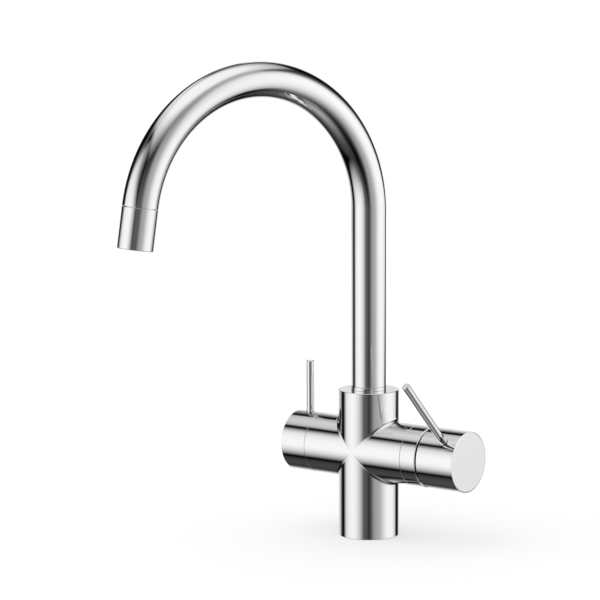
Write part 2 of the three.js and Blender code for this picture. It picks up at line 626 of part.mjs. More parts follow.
/** The brass bush: a disc chamber with an open nose, an outer groove with outlets, and a flange. */
function valveBush() {
  const neck = VALVE_BUSH_RADIUS - VALVE_GROOVE_DEPTH;
  const inner = SPINDLE_RADIUS + SEAT_GAP;
  const bush = revolve([
    [VALVE_CHAMBER_RADIUS, VALVE_NOSE],
    [VALVE_BUSH_RADIUS, VALVE_NOSE],
    [VALVE_BUSH_RADIUS, SPINDLE_FOOT],
    [neck, SPINDLE_FOOT],
    [neck, VALVE_CHAMBER_END],
    [VALVE_BUSH_RADIUS, VALVE_CHAMBER_END],
    [VALVE_BUSH_RADIUS, VALVE_FLANGE_START],
    [VALVE_FLANGE_RADIUS, VALVE_FLANGE_START],
    [VALVE_FLANGE_RADIUS, VALVE_END],
    [inner, VALVE_END],
    [inner, VALVE_CHAMBER_END],
    [VALVE_CHAMBER_RADIUS, VALVE_CHAMBER_END],
    [VALVE_CHAMBER_RADIUS, VALVE_NOSE],
  ]);
  const reach = VALVE_BUSH_RADIUS + OVERCUT;
  const outlets = [
    drill([-reach, 0, VALVE_OUTLETS], [reach, 0, VALVE_OUTLETS], VALVE_OUTLET_RADIUS),
    drill([0, -reach, VALVE_OUTLETS], [0, reach, VALVE_OUTLETS], VALVE_OUTLET_RADIUS),
  ];
  return piece("filter_valve_bush", "brass", cut(bush, ...outlets));
}

function valveMovingDisc() {
  const top = VALVE_MOVING_DISC + VALVE_DISC_THICKNESS;
  const disc = bar(VALVE_DISC_RADIUS, VALVE_MOVING_DISC, top);
  const windows = [-1, 1].map((side) => {
    const y = side * VALVE_WINDOW_PITCH;
    return drill([0, y, VALVE_MOVING_DISC - OVERCUT], [0, y, top + OVERCUT], VALVE_WINDOW_RADIUS);
  });
  const [halfLength, halfWidth] = [TONGUE_LENGTH / 2 + SEAT_GAP, TONGUE_WIDTH / 2 + SEAT_GAP];
  const floor = top - TONGUE_HEIGHT;
  const slot = box([-halfLength, halfLength], [-halfWidth, halfWidth], [floor, top + OVERCUT]);
  return piece("filter_moving_disc", "ceramic", cut(disc, slot, ...windows));
}

/** The spindle: a foot with a tongue for the disc, a grooved shaft and a square end for the knob. */
function filterSpindle() {
  const grooveHalf = SPINDLE_SEAL_SECTION + SEAT_GAP;
  const grooveRadius = SPINDLE_RADIUS - 2 * SPINDLE_SEAL_SECTION - SEAT_GAP;
  const clipRadius = SPINDLE_RADIUS - CLIP_GROOVE_DEPTH;
  const clipEnd = SPINDLE_CLIP + CLIP_THICKNESS + SEAT_GAP;
  const shaftEnd = clipEnd + SPINDLE_LAND;
  const turned = revolve([
    [0, SPINDLE_FOOT],
    [VALVE_DISC_RADIUS, SPINDLE_FOOT],
    [VALVE_DISC_RADIUS, SPINDLE_SHAFT],
    [SPINDLE_RADIUS, SPINDLE_SHAFT],
    [SPINDLE_RADIUS, SPINDLE_SEAL - grooveHalf],
    [grooveRadius, SPINDLE_SEAL - grooveHalf],
    [grooveRadius, SPINDLE_SEAL + grooveHalf],
    [SPINDLE_RADIUS, SPINDLE_SEAL + grooveHalf],
    [SPINDLE_RADIUS, SPINDLE_CLIP - SEAT_GAP],
    [clipRadius, SPINDLE_CLIP - SEAT_GAP],
    [clipRadius, clipEnd],
    [SPINDLE_RADIUS, clipEnd],
    [SPINDLE_RADIUS, shaftEnd],
    [0, shaftEnd],
  ]);
  const [halfLength, halfWidth] = [TONGUE_LENGTH / 2, TONGUE_WIDTH / 2];
  const tongueEnd = SPINDLE_FOOT - TONGUE_HEIGHT;
  const tongueRoot = SPINDLE_SHAFT - SPINDLE_FOOT_THICKNESS / 2;
  const tongue = box([-halfLength, halfLength], [-halfWidth, halfWidth], [tongueEnd, tongueRoot]);
  const drive = square(SQUARE_HALF, shaftEnd - SPINDLE_LAND, KNOB_SQUARE_END - SEAT_GAP);
  return piece("filter_spindle", "brass", join(turned, tongue, drive));
}

function spindleSeal() {
  const radius = SPINDLE_RADIUS - SPINDLE_SEAL_SECTION;
  return piece("spindle_seal", "rubber", oRing(radius, SPINDLE_SEAL_SECTION, SPINDLE_SEAL));
}

function spindleClip() {
  const inner = SPINDLE_RADIUS - CLIP_GROOVE_DEPTH + SEAT_GAP;
  const outer = SPINDLE_RADIUS + CLIP_RIM;
  const clip = snapRing(inner, outer, SPINDLE_CLIP, SPINDLE_CLIP + CLIP_THICKNESS);
  return piece("spindle_clip", "steel", clip);
}

// ---- Levers, in a frame whose +X runs along the lever -------------------------------------------

/** The boss inside a knob or cap, with the lug that carries its lever. */
function leverBoss(radius, start, end, leverPlace) {
  const boss = bar(radius, start, end);
  const lug = drill([0, 0, leverPlace], [BODY_RADIUS - LUG_INSET, 0, leverPlace], LUG_RADIUS);
  return [boss, lug];
}

/** Holes that every lever carrier has: for its lever and, opposite, for its grub screw. */
function leverHoles(leverPlace, grubPlace) {
  const outside = BODY_RADIUS + OVERCUT;
  return [
    drill([LEVER_SEAT - SEAT_GAP, 0, leverPlace], [outside, 0, leverPlace], LEVER_HOLE_RADIUS),
    drill([-outside, 0, grubPlace], [-SQUARE_HALF, 0, grubPlace], GRUB_HOLE_RADIUS),
  ];
}

function lever(name, place, length) {
  const end = BODY_RADIUS + length;
  const rod = bar(LEVER_RADIUS, LEVER_SEAT, end, { highChamfer: LEVER_TIP_CHAMFER })
    .rotateY(Math.PI / 2)
    .translate(0, 0, place);
  return piece(name, "chrome", rod);
}

/** A grub screw with a hexagon socket, that presses on the square end from the side opposite the lever. */
function grubScrew(name, place) {
  const inner = -SQUARE_HALF - 2 * SEAT_GAP;
  const outer = inner - GRUB_LENGTH;
  const screw = drill([outer, 0, place], [inner, 0, place], GRUB_RADIUS);
  const keyEnd = outer + GRUB_KEY_DEPTH;
  const socket = drill([outer - OVERCUT, 0, place], [keyEnd, 0, place], GRUB_KEY_RADIUS, GRUB_KEY_SIDES);
  return piece(name, "steel", cut(screw, socket));
}

function filterKnob() {
  const outside = bar(BODY_RADIUS, KNOB_START, KNOB_END, {
    facets: LARGE_FACETS,
    lowChamfer: SEAM_CHAMFER,
    highChamfer: KNOB_END_CHAMFER,
  });
  const shell = cut(outside, bar(BODY_RADIUS - KNOB_WALL, KNOB_START - OVERCUT, KNOB_BOSS_END));
  const bossEnd = KNOB_END - KNOB_END_WALL / 2;
  const boss = leverBoss(KNOB_BOSS_RADIUS, KNOB_BOSS_START, bossEnd, KNOB_LEVER);
  const hole = square(SQUARE_HOLE_HALF, KNOB_BOSS_START - OVERCUT, KNOB_SQUARE_END);
  const holes = [hole, ...leverHoles(KNOB_LEVER, KNOB_LEVER)];
  return piece("filter_knob", "chrome", cut(join(shell, ...boss), ...holes));
}

// ---- Mixer cartridge: fixed pieces, in the right arm's frame ------------------------------------

const CARTRIDGE_PORTS = {
  hot_seal: [-INLET_PORT_DROP, MIXED_PORT_SIDE],
  cold_seal: [-INLET_PORT_DROP, -MIXED_PORT_SIDE],
  mixed_seal: [OUTLET_PORT_RISE, 0],
};

function cartridgePorts(low, high, radius) {
  return Object.values(CARTRIDGE_PORTS).map(([x, y]) => drill([x, y, low], [x, y, high], radius));
}

function cartridgeBase() {
  const base = bar(CARTRIDGE_RADIUS, CARTRIDGE_BASE, CARTRIDGE_BASE_TOP);
  const pocketRadius = PORT_SEAL_RADIUS + PORT_SEAL_SECTION + SEAT_GAP;
  const pocketEnd = CARTRIDGE_BASE + 2 * PORT_SEAL_SECTION + SEAT_GAP;
  const pockets = cartridgePorts(CARTRIDGE_BASE - OVERCUT, pocketEnd, pocketRadius);
  const ports = cartridgePorts(CARTRIDGE_BASE, CARTRIDGE_BASE_TOP + OVERCUT, WATER_WAY_RADIUS);
  return piece("cartridge_base", "greyPlastic", cut(base, ...pockets, ...ports));
}

function portSeals() {
  return Object.entries(CARTRIDGE_PORTS).map(([name, [x, y]]) => {
    const seal = oRing(PORT_SEAL_RADIUS, PORT_SEAL_SECTION, CARTRIDGE_BASE + PORT_SEAL_SECTION);
    return piece(name, "rubber", seal.translate(x, y, 0));
  });
}

function cartridgeFixedDisc() {
  const disc = bar(CARTRIDGE_PIECE_RADIUS, FIXED_DISC, FIXED_DISC + MIXER_DISC_THICKNESS);
  const ports = cartridgePorts(FIXED_DISC - OVERCUT, MOVING_DISC, DISC_PORT_RADIUS);
  return piece("cartridge_fixed_disc", "ceramic", cut(disc, ...ports));
}

function cartridgeHousing() {
  return piece(
    "cartridge_housing",
    "plastic",
    revolve([
      [CARTRIDGE_BORE, FIXED_DISC],
      [CARTRIDGE_RADIUS, FIXED_DISC],
      [CARTRIDGE_RADIUS, SHOULDER],
      [CARTRIDGE_NECK_RADIUS, SHOULDER],
      [CARTRIDGE_NECK_RADIUS, CARTRIDGE_END],
      [CARTRIDGE_MOUTH_RADIUS, CARTRIDGE_END],
      [CARTRIDGE_MOUTH_RADIUS, CARTRIDGE_TOP_INSIDE],
      [CARTRIDGE_BORE, CARTRIDGE_TOP_INSIDE],
      [CARTRIDGE_BORE, FIXED_DISC],
    ]),
  );
}

/** The nut screws into the arm, holds the cartridge by its shoulder and carries the cover ring. */
function cartridgeNut() {
  return piece(
    "cartridge_nut",
    "brass",
    revolve([
      [NUT_BORE, SHOULDER + SEAT_GAP],
      [NUT_RADIUS, SHOULDER + SEAT_GAP],
      [NUT_RADIUS, NUT_RIM_END],
      [NUT_HUB_RADIUS, NUT_RIM_END],
      [NUT_HUB_RADIUS, NUT_HUB_END],
      [NUT_BORE, NUT_HUB_END],
      [NUT_BORE, SHOULDER + SEAT_GAP],
    ]),
  );
}

function mixerCoverRing() {
  const outside = bar(BODY_RADIUS, COVER_RING_START, COVER_RING_END, {
    facets: LARGE_FACETS,
    lowChamfer: SEAM_CHAMFER,
    highChamfer: GAP_CHAMFER,
  });
  const hub = bar(NUT_HUB_RADIUS + SEAT_GAP, COVER_RING_START - OVERCUT, COVER_RING_LIP_START);
  const mouth = bar(NUT_BORE, COVER_RING_LIP_START - OVERCUT, COVER_RING_END + OVERCUT);
  return piece("mixer_cover_ring", "chrome", cut(outside, hub, mouth));
}

// ---- Mixer: moving pieces, in a frame whose +X runs along the lever -----------------------------

/** The disc lies half its travel behind the axis when the mixer is shut, and half ahead at full flow. */
function cartridgeMovingDisc() {
  const disc = bar(MOVING_DISC_RADIUS, MOVING_DISC, MOVING_DISC + MIXER_DISC_THICKNESS);
  const pocket = bar(MOVING_DISC_POCKET, MOVING_DISC - OVERCUT, MOVING_DISC + MOVING_DISC_POCKET_DEPTH);
  return piece("cartridge_moving_disc", "ceramic", cut(disc, pocket).translate(-DISC_TRAVEL / 2, 0, 0));
}

function discDriver() {
  const plate = bar(MOVING_DISC_RADIUS, DRIVER, DRIVER_TOP).translate(-DISC_TRAVEL / 2, 0, 0);
  const [low, high] = [DRIVER - OVERCUT, DRIVER_TOP + OVERCUT];
  const socket = bar(STEM_BALL_RADIUS + SEAT_GAP, low, high, { facets: SMALL_FACETS });
  return piece("disc_driver", "greyPlastic", cut(plate, socket));
}

/** How far the stem's side leans from the axis, at a distance from the pivot, when it is tipped fully. */
function stemLean(distance) {
  return distance * Math.tan(LIFT_ANGLE) + SQUARE_HALF / Math.cos(LIFT_ANGLE) + SEAT_GAP;
}

function cartridgeCarrier() {
  const collarEnd = CARRIER_TOP + CARRIER_COLLAR_HEIGHT;
  const drum = bar(CARTRIDGE_PIECE_RADIUS, CARRIER_BOTTOM, CARRIER_TOP);
  const collar = bar(CARTRIDGE_MOUTH_RADIUS - SEAT_GAP, PIVOT, collarEnd);
  const behind = stemLean(collarEnd - PIVOT);
  const ahead = stemLean(STEM_ARM - STEM_NECK_LENGTH);
  const across = [-SQUARE_HOLE_HALF, SQUARE_HOLE_HALF];
  const slot = box([-behind, ahead], across, [CARRIER_BOTTOM - OVERCUT, collarEnd + OVERCUT]);
  const reach = CARTRIDGE_PIECE_RADIUS + OVERCUT;
  const pinHole = drill([0, -reach, PIVOT], [0, reach, PIVOT], PIVOT_PIN_RADIUS + SEAT_GAP);
  return piece("cartridge_carrier", "greyPlastic", cut(join(drum, collar), slot, pinHole));
}

function leverPivotPin() {
  const half = PIVOT_PIN_LENGTH / 2;
  return piece("lever_pivot_pin", "steel", drill([0, -half, PIVOT], [0, half, PIVOT], PIVOT_PIN_RADIUS));
}

/** The stem: a ball end that slides the disc, a slim neck, and a square bar on the pivot pin. */
function cartridgeStem() {
  const neckEnd = STEM_BALL + STEM_NECK_LENGTH;
  const sphere = new THREE.SphereGeometry(STEM_BALL_RADIUS, SMALL_FACETS, SMALL_FACETS);
  const ball = sphere.translate(0, 0, STEM_BALL);
  const neck = bar(STEM_NECK_RADIUS, STEM_BALL, neckEnd + OVERCUT, { facets: SMALL_FACETS });
  const drive = square(SQUARE_HALF, neckEnd, CAP_SQUARE_END - SEAT_GAP);
  const reach = SQUARE_HALF + OVERCUT;
  const pinHole = drill([0, -reach, PIVOT], [0, reach, PIVOT], PIVOT_PIN_RADIUS + SEAT_GAP);
  return piece("cartridge_stem", "steel", cut(join(ball, neck, drive), pinHole));
}

/** The wedge that is cut from the cap's skirt opposite the lever, so that the cap can tip. */
function skirtRelief() {
  const far = BODY_RADIUS + OVERCUT;
  const outline = new THREE.Shape();
  outline.moveTo(0, CAP_START - OVERCUT);
  outline.lineTo(0, CAP_START);
  outline.lineTo(-far, CAP_START + far * Math.tan(LIFT_ANGLE));
  outline.lineTo(-far, CAP_START - OVERCUT);
  const wedge = new THREE.ExtrudeGeometry(outline, { depth: 2 * far, bevelEnabled: false });
  return wedge.translate(0, 0, -far).rotateX(Math.PI / 2);
}

function mixerCap() {
  const outside = bar(BODY_RADIUS, CAP_START, CAP_END, {
    facets: LARGE_FACETS,
    lowChamfer: GAP_CHAMFER,
    highChamfer: CAP_END_CHAMFER,
  });
  const cavity = bar(BODY_RADIUS - CAP_WALL, CAP_START - OVERCUT, CAP_CAVITY_END);
  const shell = cut(outside, cavity, skirtRelief());
  const bossEnd = CAP_END - CAP_END_WALL / 2;
  const boss = leverBoss(CAP_BOSS_RADIUS, CAP_BOSS_START, bossEnd, CAP_LEVER);
  const hole = square(SQUARE_HOLE_HALF, CAP_BOSS_START - OVERCUT, CAP_SQUARE_END);
  const holes = [hole, ...leverHoles(CAP_LEVER, CAP_GRUB)];
  return piece("mixer_cap", "chrome", cut(join(shell, ...boss), ...holes));
}

// ---- Spout, in a frame whose +X points to the outlet --------------------------------------------

/** The centre line of the swan neck: straight up, round the bend and straight on beyond it. */
class SwanNeck extends THREE.Curve {
  constructor(bottom, beyond) {
    super();
    this.bottom = bottom;
    this.beyond = beyond;
    this.steps = BEND_STEPS + 2;
  }

  /** The parameter runs one step up the riser, BEND_STEPS round the bend and one step beyond it. */
  getPoint(t, target = new THREE.Vector3()) {
    const step = t * this.steps;
    if (step < 1) return target.set(0, 0, this.bottom + (SPRING_HEIGHT - this.bottom) * step);
    const turned = (BEND_ANGLE * Math.min(step - 1, BEND_STEPS)) / BEND_STEPS;
    target.set(BEND_RADIUS * (1 - Math.cos(turned)), 0, SPRING_HEIGHT + BEND_RADIUS * Math.sin(turned));
    const past = Math.max(step - 1 - BEND_STEPS, 0) * this.beyond;
    return target.addScaledVector(this.getTangent(t), past);
  }

  getTangent(t, target = new THREE.Vector3()) {
    const bent = THREE.MathUtils.clamp(t * this.steps - 1, 0, BEND_STEPS);
    const turned = (BEND_ANGLE * bent) / BEND_STEPS;
    return target.set(Math.sin(turned), 0, Math.cos(turned));
  }

  getUtoTmapping(u) {
    return u;
  }
}

function circle(radius, facets) {
  const points = [];
  for (let i = 0; i < facets; i += 1) {
    const angle = (2 * Math.PI * i) / facets;
    points.push(new THREE.Vector2(radius * Math.cos(angle), radius * Math.sin(angle)));
  }
  return points;
}

/** A pipe of constant section along a swan neck. */
function sweep(path, outer, outerFacets, inner, innerFacets) {
  const section = new THREE.Shape(circle(outer, outerFacets));
  section.holes.push(new THREE.Path(circle(inner, innerFacets)));
  const options = { steps: path.steps, extrudePath: path, bevelEnabled: false };
  return new THREE.ExtrudeGeometry(section, options);
}

function spoutTube() {
  const path = new SwanNeck(TUBE_BOTTOM, TUBE_RUN_OUT);
  const tube = sweep(path, TUBE_RADIUS, TUBE_FACETS, TUBE_BORE, TUBE_BORE_FACETS);
  return piece("spout_tube", "chrome", tube);
}

function filteredWaterPipe() {
  const path = new SwanNeck(WELL_LEDGE - PIPE_DIP, PIPE_END);
  const pipe = sweep(path, PIPE_RADIUS, PIPE_FACETS, PIPE_BORE, PIPE_BORE_FACETS);
  return piece("filtered_water_pipe", "plastic", pipe);
}

/** The brass tail turns in the socket: two seal grooves, a clip groove and a spigot inside the tube. */
function spoutTail() {
  const shoulder = TUBE_BOTTOM;
  const turned = revolve([
    [SPOUT_TAIL_BORE, TAIL_BOTTOM],
    [SPOUT_TAIL_RADIUS, TAIL_BOTTOM],
    [SPOUT_TAIL_RADIUS, shoulder],
    [TUBE_BORE - SEAT_GAP, shoulder],
    [TUBE_BORE - SEAT_GAP, shoulder + SPOUT_TAIL_SPIGOT],
    [SPOUT_TAIL_BORE, shoulder + SPOUT_TAIL_SPIGOT],
    [SPOUT_TAIL_BORE, TAIL_BOTTOM],
  ]);
  const outside = SPOUT_TAIL_RADIUS + OVERCUT;
  const half = O_RING_SECTION + SEAT_GAP;
  const grooves = O_RING_HEIGHTS.map((height) => ring(O_RING_GROOVE, outside, height - half, height + half));
  const clipEnd = SPOUT_CLIP + CLIP_THICKNESS + SEAT_GAP / 2;
  grooves.push(ring(O_RING_GROOVE, outside, SPOUT_CLIP - SEAT_GAP / 2, clipEnd));
  return piece("spout_tail", "brass", cut(turned, ...grooves));
}

function spoutRings() {
  const radius = SPOUT_TAIL_RADIUS - O_RING_SECTION;
  return ["spout_ring_lower", "spout_ring_upper"].map((name, i) =>
    piece(name, "rubber", oRing(radius, O_RING_SECTION, O_RING_HEIGHTS[i])),
  );
}

function spoutClip() {
  const inner = O_RING_GROOVE + SEAT_GAP;
  const outer = BUSH_RADIUS - SEAT_GAP;
  const clip = snapRing(inner, outer, SPOUT_CLIP, SPOUT_CLIP + CLIP_THICKNESS);
  return piece("spout_clip", "steel", clip);
}

function glideRing() {
  const inner = SPOUT_TAIL_RADIUS + SEAT_GAP;
  const top = GLIDE_RING_BOTTOM + GLIDE_RING_HEIGHT;
  return piece("glide_ring", "chrome", ring(inner, TUBE_RADIUS, GLIDE_RING_BOTTOM, top, TUBE_FACETS));
}

// ---- Outlet, in a frame whose +Z runs down the outlet from the end of the bend ------------------

function outletSleeve() {
  const spigot = TUBE_BORE - 2 * SEAT_GAP; // the tube still bends here
  return piece(
    "outlet_sleeve",
    "chrome",
    revolve([
      [SLEEVE_BORE, -SLEEVE_SPIGOT],
      [spigot, -SLEEVE_SPIGOT],
      [spigot, SEAT_GAP],
      [TUBE_RADIUS - SLEEVE_CHAMFER, SEAT_GAP],
      [TUBE_RADIUS, SEAT_GAP + SLEEVE_CHAMFER],
      [TUBE_RADIUS, SLEEVE_LENGTH - SLEEVE_CHAMFER],
      [TUBE_RADIUS - SLEEVE_CHAMFER, SLEEVE_LENGTH],
      [TUBE_BORE, SLEEVE_LENGTH],
      [TUBE_BORE, SLEEVE_SHOULDER],
      [SLEEVE_BORE, SLEEVE_SHOULDER],
      [SLEEVE_BORE, -SLEEVE_SPIGOT],
    ], TUBE_FACETS),
  );
}

function aeratorSeal() {
  const inner = SLEEVE_BORE + SEAT_GAP;
  const end = AERATOR_SEAL_START + AERATOR_SEAL_THICKNESS;
  return piece("aerator_seal", "rubber", ring(inner, AERATOR_RADIUS, AERATOR_SEAL_START, end));
}

/** The aerator: a plug with two rings of jets for mixed water round the filtered water nozzle. */
function aeratorInsert() {
  const plug = ring(NOZZLE_RADIUS + SEAT_GAP, AERATOR_RADIUS, AERATOR_START, AERATOR_END);
  const jets = JET_RINGS.flatMap(({ pitchRadius, count }) =>
    circle(pitchRadius, count).map(({ x, y }) =>
      drill([x, y, AERATOR_START - OVERCUT], [x, y, AERATOR_END + OVERCUT], JET_RADIUS, SECTION_FACETS),
    ),
  );
  return piece("aerator_insert", "plastic", cut(plug, ...jets));
}

function filteredNozzle() {
  const socket = PIPE_RADIUS + SEAT_GAP;
  const flangeEnd = NOZZLE_FLANGE_START + NOZZLE_FLANGE_THICKNESS;
  return piece(
    "filtered_nozzle",
    "greyPlastic",
    revolve([
      [socket, NOZZLE_START],
      [socket + NOZZLE_WALL, NOZZLE_START],
      [socket + NOZZLE_WALL, NOZZLE_FLANGE_START],
      [NOZZLE_FLANGE_RADIUS, NOZZLE_FLANGE_START],
      [NOZZLE_FLANGE_RADIUS, flangeEnd],
      [NOZZLE_RADIUS, flangeEnd],
      [NOZZLE_RADIUS, AERATOR_END],
      [NOZZLE_BORE, AERATOR_END],
      [NOZZLE_BORE, NOZZLE_FLANGE_START],
      [socket, NOZZLE_FLANGE_START],
      [socket, NOZZLE_START],
    ], RING_FACETS),
  );
}

// ---- Assembly -----------------------------------------------------------------------------------

function outletFrame() {
  const [sine, cosine] = [Math.sin(BEND_ANGLE), Math.cos(BEND_ANGLE)];
  const across = new THREE.Vector3(cosine, 0, -sine);
  const down = new THREE.Vector3(sine, 0, cosine);
  return new THREE.Matrix4()
    .makeBasis(across, new THREE.Vector3(0, 1, 0), down)
    .setPosition(BEND_RADIUS * (1 - cosine), 0, SPRING_HEIGHT + BEND_RADIUS * sine);
}

const fixedPieces = [bodyCasting(), baseSeal(), inletBlock(), spoutSocketBush(), spoutWellSeal()];

const filterValve = frame(
  LEFT_ARM,
  valveNoseSeal(),
  valveFixedDisc(),
  valveBush(),
  valveMovingDisc(),
  filterSpindle(),
  spindleSeal(),
  spindleClip(),
  filterKnob(),
  lever("filter_lever", KNOB_LEVER, FILTER_LEVER_LENGTH),
  grubScrew("filter_grub_screw", KNOB_LEVER),
);

const mixerLeverPieces = frame(
  new THREE.Matrix4().makeRotationZ(MIXER_LEVER_ANGLE),
  cartridgeMovingDisc(),
  discDriver(),
  cartridgeCarrier(),
  leverPivotPin(),
  cartridgeStem(),
  mixerCap(),
  lever("mixer_lever", CAP_LEVER, MIXER_LEVER_LENGTH),
  grubScrew("mixer_grub_screw", CAP_GRUB),
);

const mixer = frame(
  RIGHT_ARM,
  cartridgeBase(),
  ...portSeals(),
  cartridgeFixedDisc(),
  cartridgeHousing(),
  cartridgeNut(),
  mixerCoverRing(),
  mixerLeverPieces,
);

const outlet = frame(outletFrame(), outletSleeve(), aeratorSeal(), aeratorInsert(), filteredNozzle());

const spout = frame(
  new THREE.Matrix4().makeRotationZ(SPOUT_REST_ANGLE),
  spoutTube(),
  filteredWaterPipe(),
  spoutTail(),
  ...spoutRings(),
  spoutClip(),
  glideRing(),
  outlet,
);

const tap = new THREE.Group();
tap.add(...fixedPieces, filterValve, mixer, spout);

export default tap;
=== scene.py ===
"""Looks of a chrome kitchen tap: a cross-shaped body, a swan-neck spout and two side controls.

The right arm carries the mixer for hot and cold water, the left arm the lever for filtered water.
Every size is in millimetres and every mesh is made in metres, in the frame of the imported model.
"""

import json
import logging
import math
from dataclasses import dataclass, field
from enum import Enum
from typing import Any, Callable, Iterable, Optional, Sequence

import bmesh
import bpy
import numpy as np
from mathutils import Matrix, Vector
from mathutils.bvhtree import BVHTree
from mathutils.interpolate import poly_3d_calc


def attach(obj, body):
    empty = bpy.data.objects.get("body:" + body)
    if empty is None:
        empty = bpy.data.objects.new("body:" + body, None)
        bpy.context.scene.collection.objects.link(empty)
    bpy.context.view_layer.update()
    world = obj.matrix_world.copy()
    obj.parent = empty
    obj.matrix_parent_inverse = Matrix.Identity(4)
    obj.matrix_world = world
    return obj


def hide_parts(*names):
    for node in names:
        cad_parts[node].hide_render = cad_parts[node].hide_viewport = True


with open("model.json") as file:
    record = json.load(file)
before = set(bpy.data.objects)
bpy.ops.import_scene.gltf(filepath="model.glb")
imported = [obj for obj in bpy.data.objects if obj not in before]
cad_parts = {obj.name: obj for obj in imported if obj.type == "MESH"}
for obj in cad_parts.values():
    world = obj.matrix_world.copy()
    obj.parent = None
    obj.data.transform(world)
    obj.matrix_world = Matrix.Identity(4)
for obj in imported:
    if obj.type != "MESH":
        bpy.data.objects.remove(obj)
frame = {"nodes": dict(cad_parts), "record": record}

logging.basicConfig(level=logging.INFO, format="%(message)s")
LOG = logging.getLogger("tap")

Corner = tuple[float, ...]  # (radius, height) or (radius, height, rounding)
Steps = Sequence[tuple[float, float]]  # (radius, floor) of each step of a bore

MM = 0.001
UPRIGHT = Matrix.Identity(4)  # the frame whose +Z runs up the upright
LARGE_SEGMENTS = 256  # round the body, the controls and the rings
SMALL_SEGMENTS = 96  # round the levers and the aerator
HOLE_SEGMENTS = 64
ROUND_STEPS = 5  # in a rounded edge
OVERCUT = 1.0  # how far a cutting tool stands out of what it cuts
NEGLIGIBLE = 1e-6  # length or angle that counts as none
MERGE_GRID = 1e-7  # metres within which two points are one
SKIN_DISTANCE = 2e-6  # metres at most between a cut face and the skin that it is a part of
SKIN_COSINE = 0.95  # least agreement of the two faces' directions
INTO_FACE = 0.02  # share of the way to a face's middle at which the skin is looked up


class Body(Enum):
    """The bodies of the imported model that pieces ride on."""

    TAP = "tap_body"
    SPOUT = "spout"
    FILTER_KNOB = "filter_knob"
    MIXER_HANDLE = "mixer_handle"


class Slot(Enum):
    """The material slots of the record."""

    CHROME = "chrome"
    BRASS = "brass"
    STEEL = "steel"
    RUBBER = "rubber"
    WHITE_PLASTIC = "white_plastic"
    GREY_PLASTIC = "grey_plastic"
    CERAMIC = "ceramic"


# ---- Nodes and colours ---------------------------------------------------------------------------


def linear(hex_colour: str) -> tuple[float, float, float, float]:
    """Turns an sRGB colour into the linear one that shaders take.

    Args:
        hex_colour: Six hexadecimal digits, such as "c0c4c8".

    Returns:
        Linear red, green, blue and an alpha of 1.
    """
    shares = [int(hex_colour[i : i + 2], 16) / 255 for i in (0, 2, 4)]
    red, green, blue = (c / 12.92 if c <= 0.04045 else ((c + 0.055) / 1.055) ** 2.4 for c in shares)
    return (red, green, blue, 1.0)


def add_node(
    tree: bpy.types.NodeTree, kind: str, settings: Optional[dict[str, Any]] = None, **inputs: Any
) -> bpy.types.Node:
    """Adds a node with its settings, and sets or links its inputs.

    Args:
        tree: The node tree.
        kind: The node's type name.
        settings: Properties of the node, by name.
        **inputs: A value, a socket, a node whose first output is meant, or a list of these, by the
            input's name with underscores, or by "_" and its index.

    Returns:
        The new node.
    """
    node = tree.nodes.new(kind)
    for name, value in (settings or {}).items():
        setattr(node, name, value)
    for name, value in inputs.items():
        socket = node.inputs[int(name[1:]) if name.startswith("_") else name.replace("_", " ")]
        for source in value if isinstance(value, list) else [value]:
            if isinstance(source, bpy.types.Node):
                source = source.outputs[0]
            if isinstance(source, bpy.types.NodeSocket):
                tree.links.new(source, socket)
            else:
                socket.default_value = source
    return node


# ---- Finishes ------------------------------------------------------------------------------------


@dataclass(frozen=True)
class Finish:
    """A surface: what it is made of and how it was made.

    Patches and grain are sized in millimetres. The real grain is finer than these sizes: it is drawn as
    coarse as it needs to be to show. The noise seldom leaves its span.
    """

    name: str
    slot: Slot
    colour: str
    roughness: float
    metallic: float = 0.0
    ior: Optional[float] = None
    roughness_spread: float = 0.0
    patch_size: float = 20.0
    noise_span: tuple[float, float] = (0.3, 0.7)
    grain_size: float = 0.4
    grain_depth: float = 0.0
    colour_spread: float = 0.0

    def build(self) -> bpy.types.Material:
        """Builds the material, with its patchy roughness, its drift of colour and its fine grain.

        Returns:
            The new material.
        """
        material = bpy.data.materials.new(self.name)
        material.use_nodes = True
        tree = material.node_tree
        tree.nodes.clear()
        place = add_node(tree, "ShaderNodeTexCoord").outputs["Object"]
        patches = add_node(
            tree, "ShaderNodeTexNoise", Vector=place, Scale=1 / (self.patch_size * MM), Detail=3.0
        )
        roughness = add_node(
            tree,
            "ShaderNodeMapRange",
            Value=patches,
            From_Min=self.noise_span[0],
            From_Max=self.noise_span[1],
            To_Min=max(0.0, self.roughness - self.roughness_spread),
            To_Max=self.roughness + self.roughness_spread,
        )
        base = linear(self.colour)
        looks = {"Base_Color": base, "Metallic": self.metallic, "Roughness": roughness}
        if self.ior is not None:
            looks["IOR"] = self.ior
        if self.colour_spread > 0:
            looks["Base_Color"] = ramp = add_node(tree, "ShaderNodeValToRGB", Fac=patches)
            for stop, side in zip(ramp.color_ramp.elements, (-1, 1)):
                share = 1 + side * self.colour_spread
                stop.color = (*(min(1.0, channel * share) for channel in base[:3]), 1.0)
        if self.grain_depth > 0:
            grain = add_node(
                tree, "ShaderNodeTexNoise", Vector=place, Scale=1 / (self.grain_size * MM), Detail=2.0
            )
            depth = self.grain_depth * MM
            looks["Normal"] = add_node(tree, "ShaderNodeBump", Strength=1.0, Distance=depth, Height=grain)
        shader = add_node(tree, "ShaderNodeBsdfPrincipled", **looks)
        add_node(tree, "ShaderNodeOutputMaterial", Surface=shader)
        return material


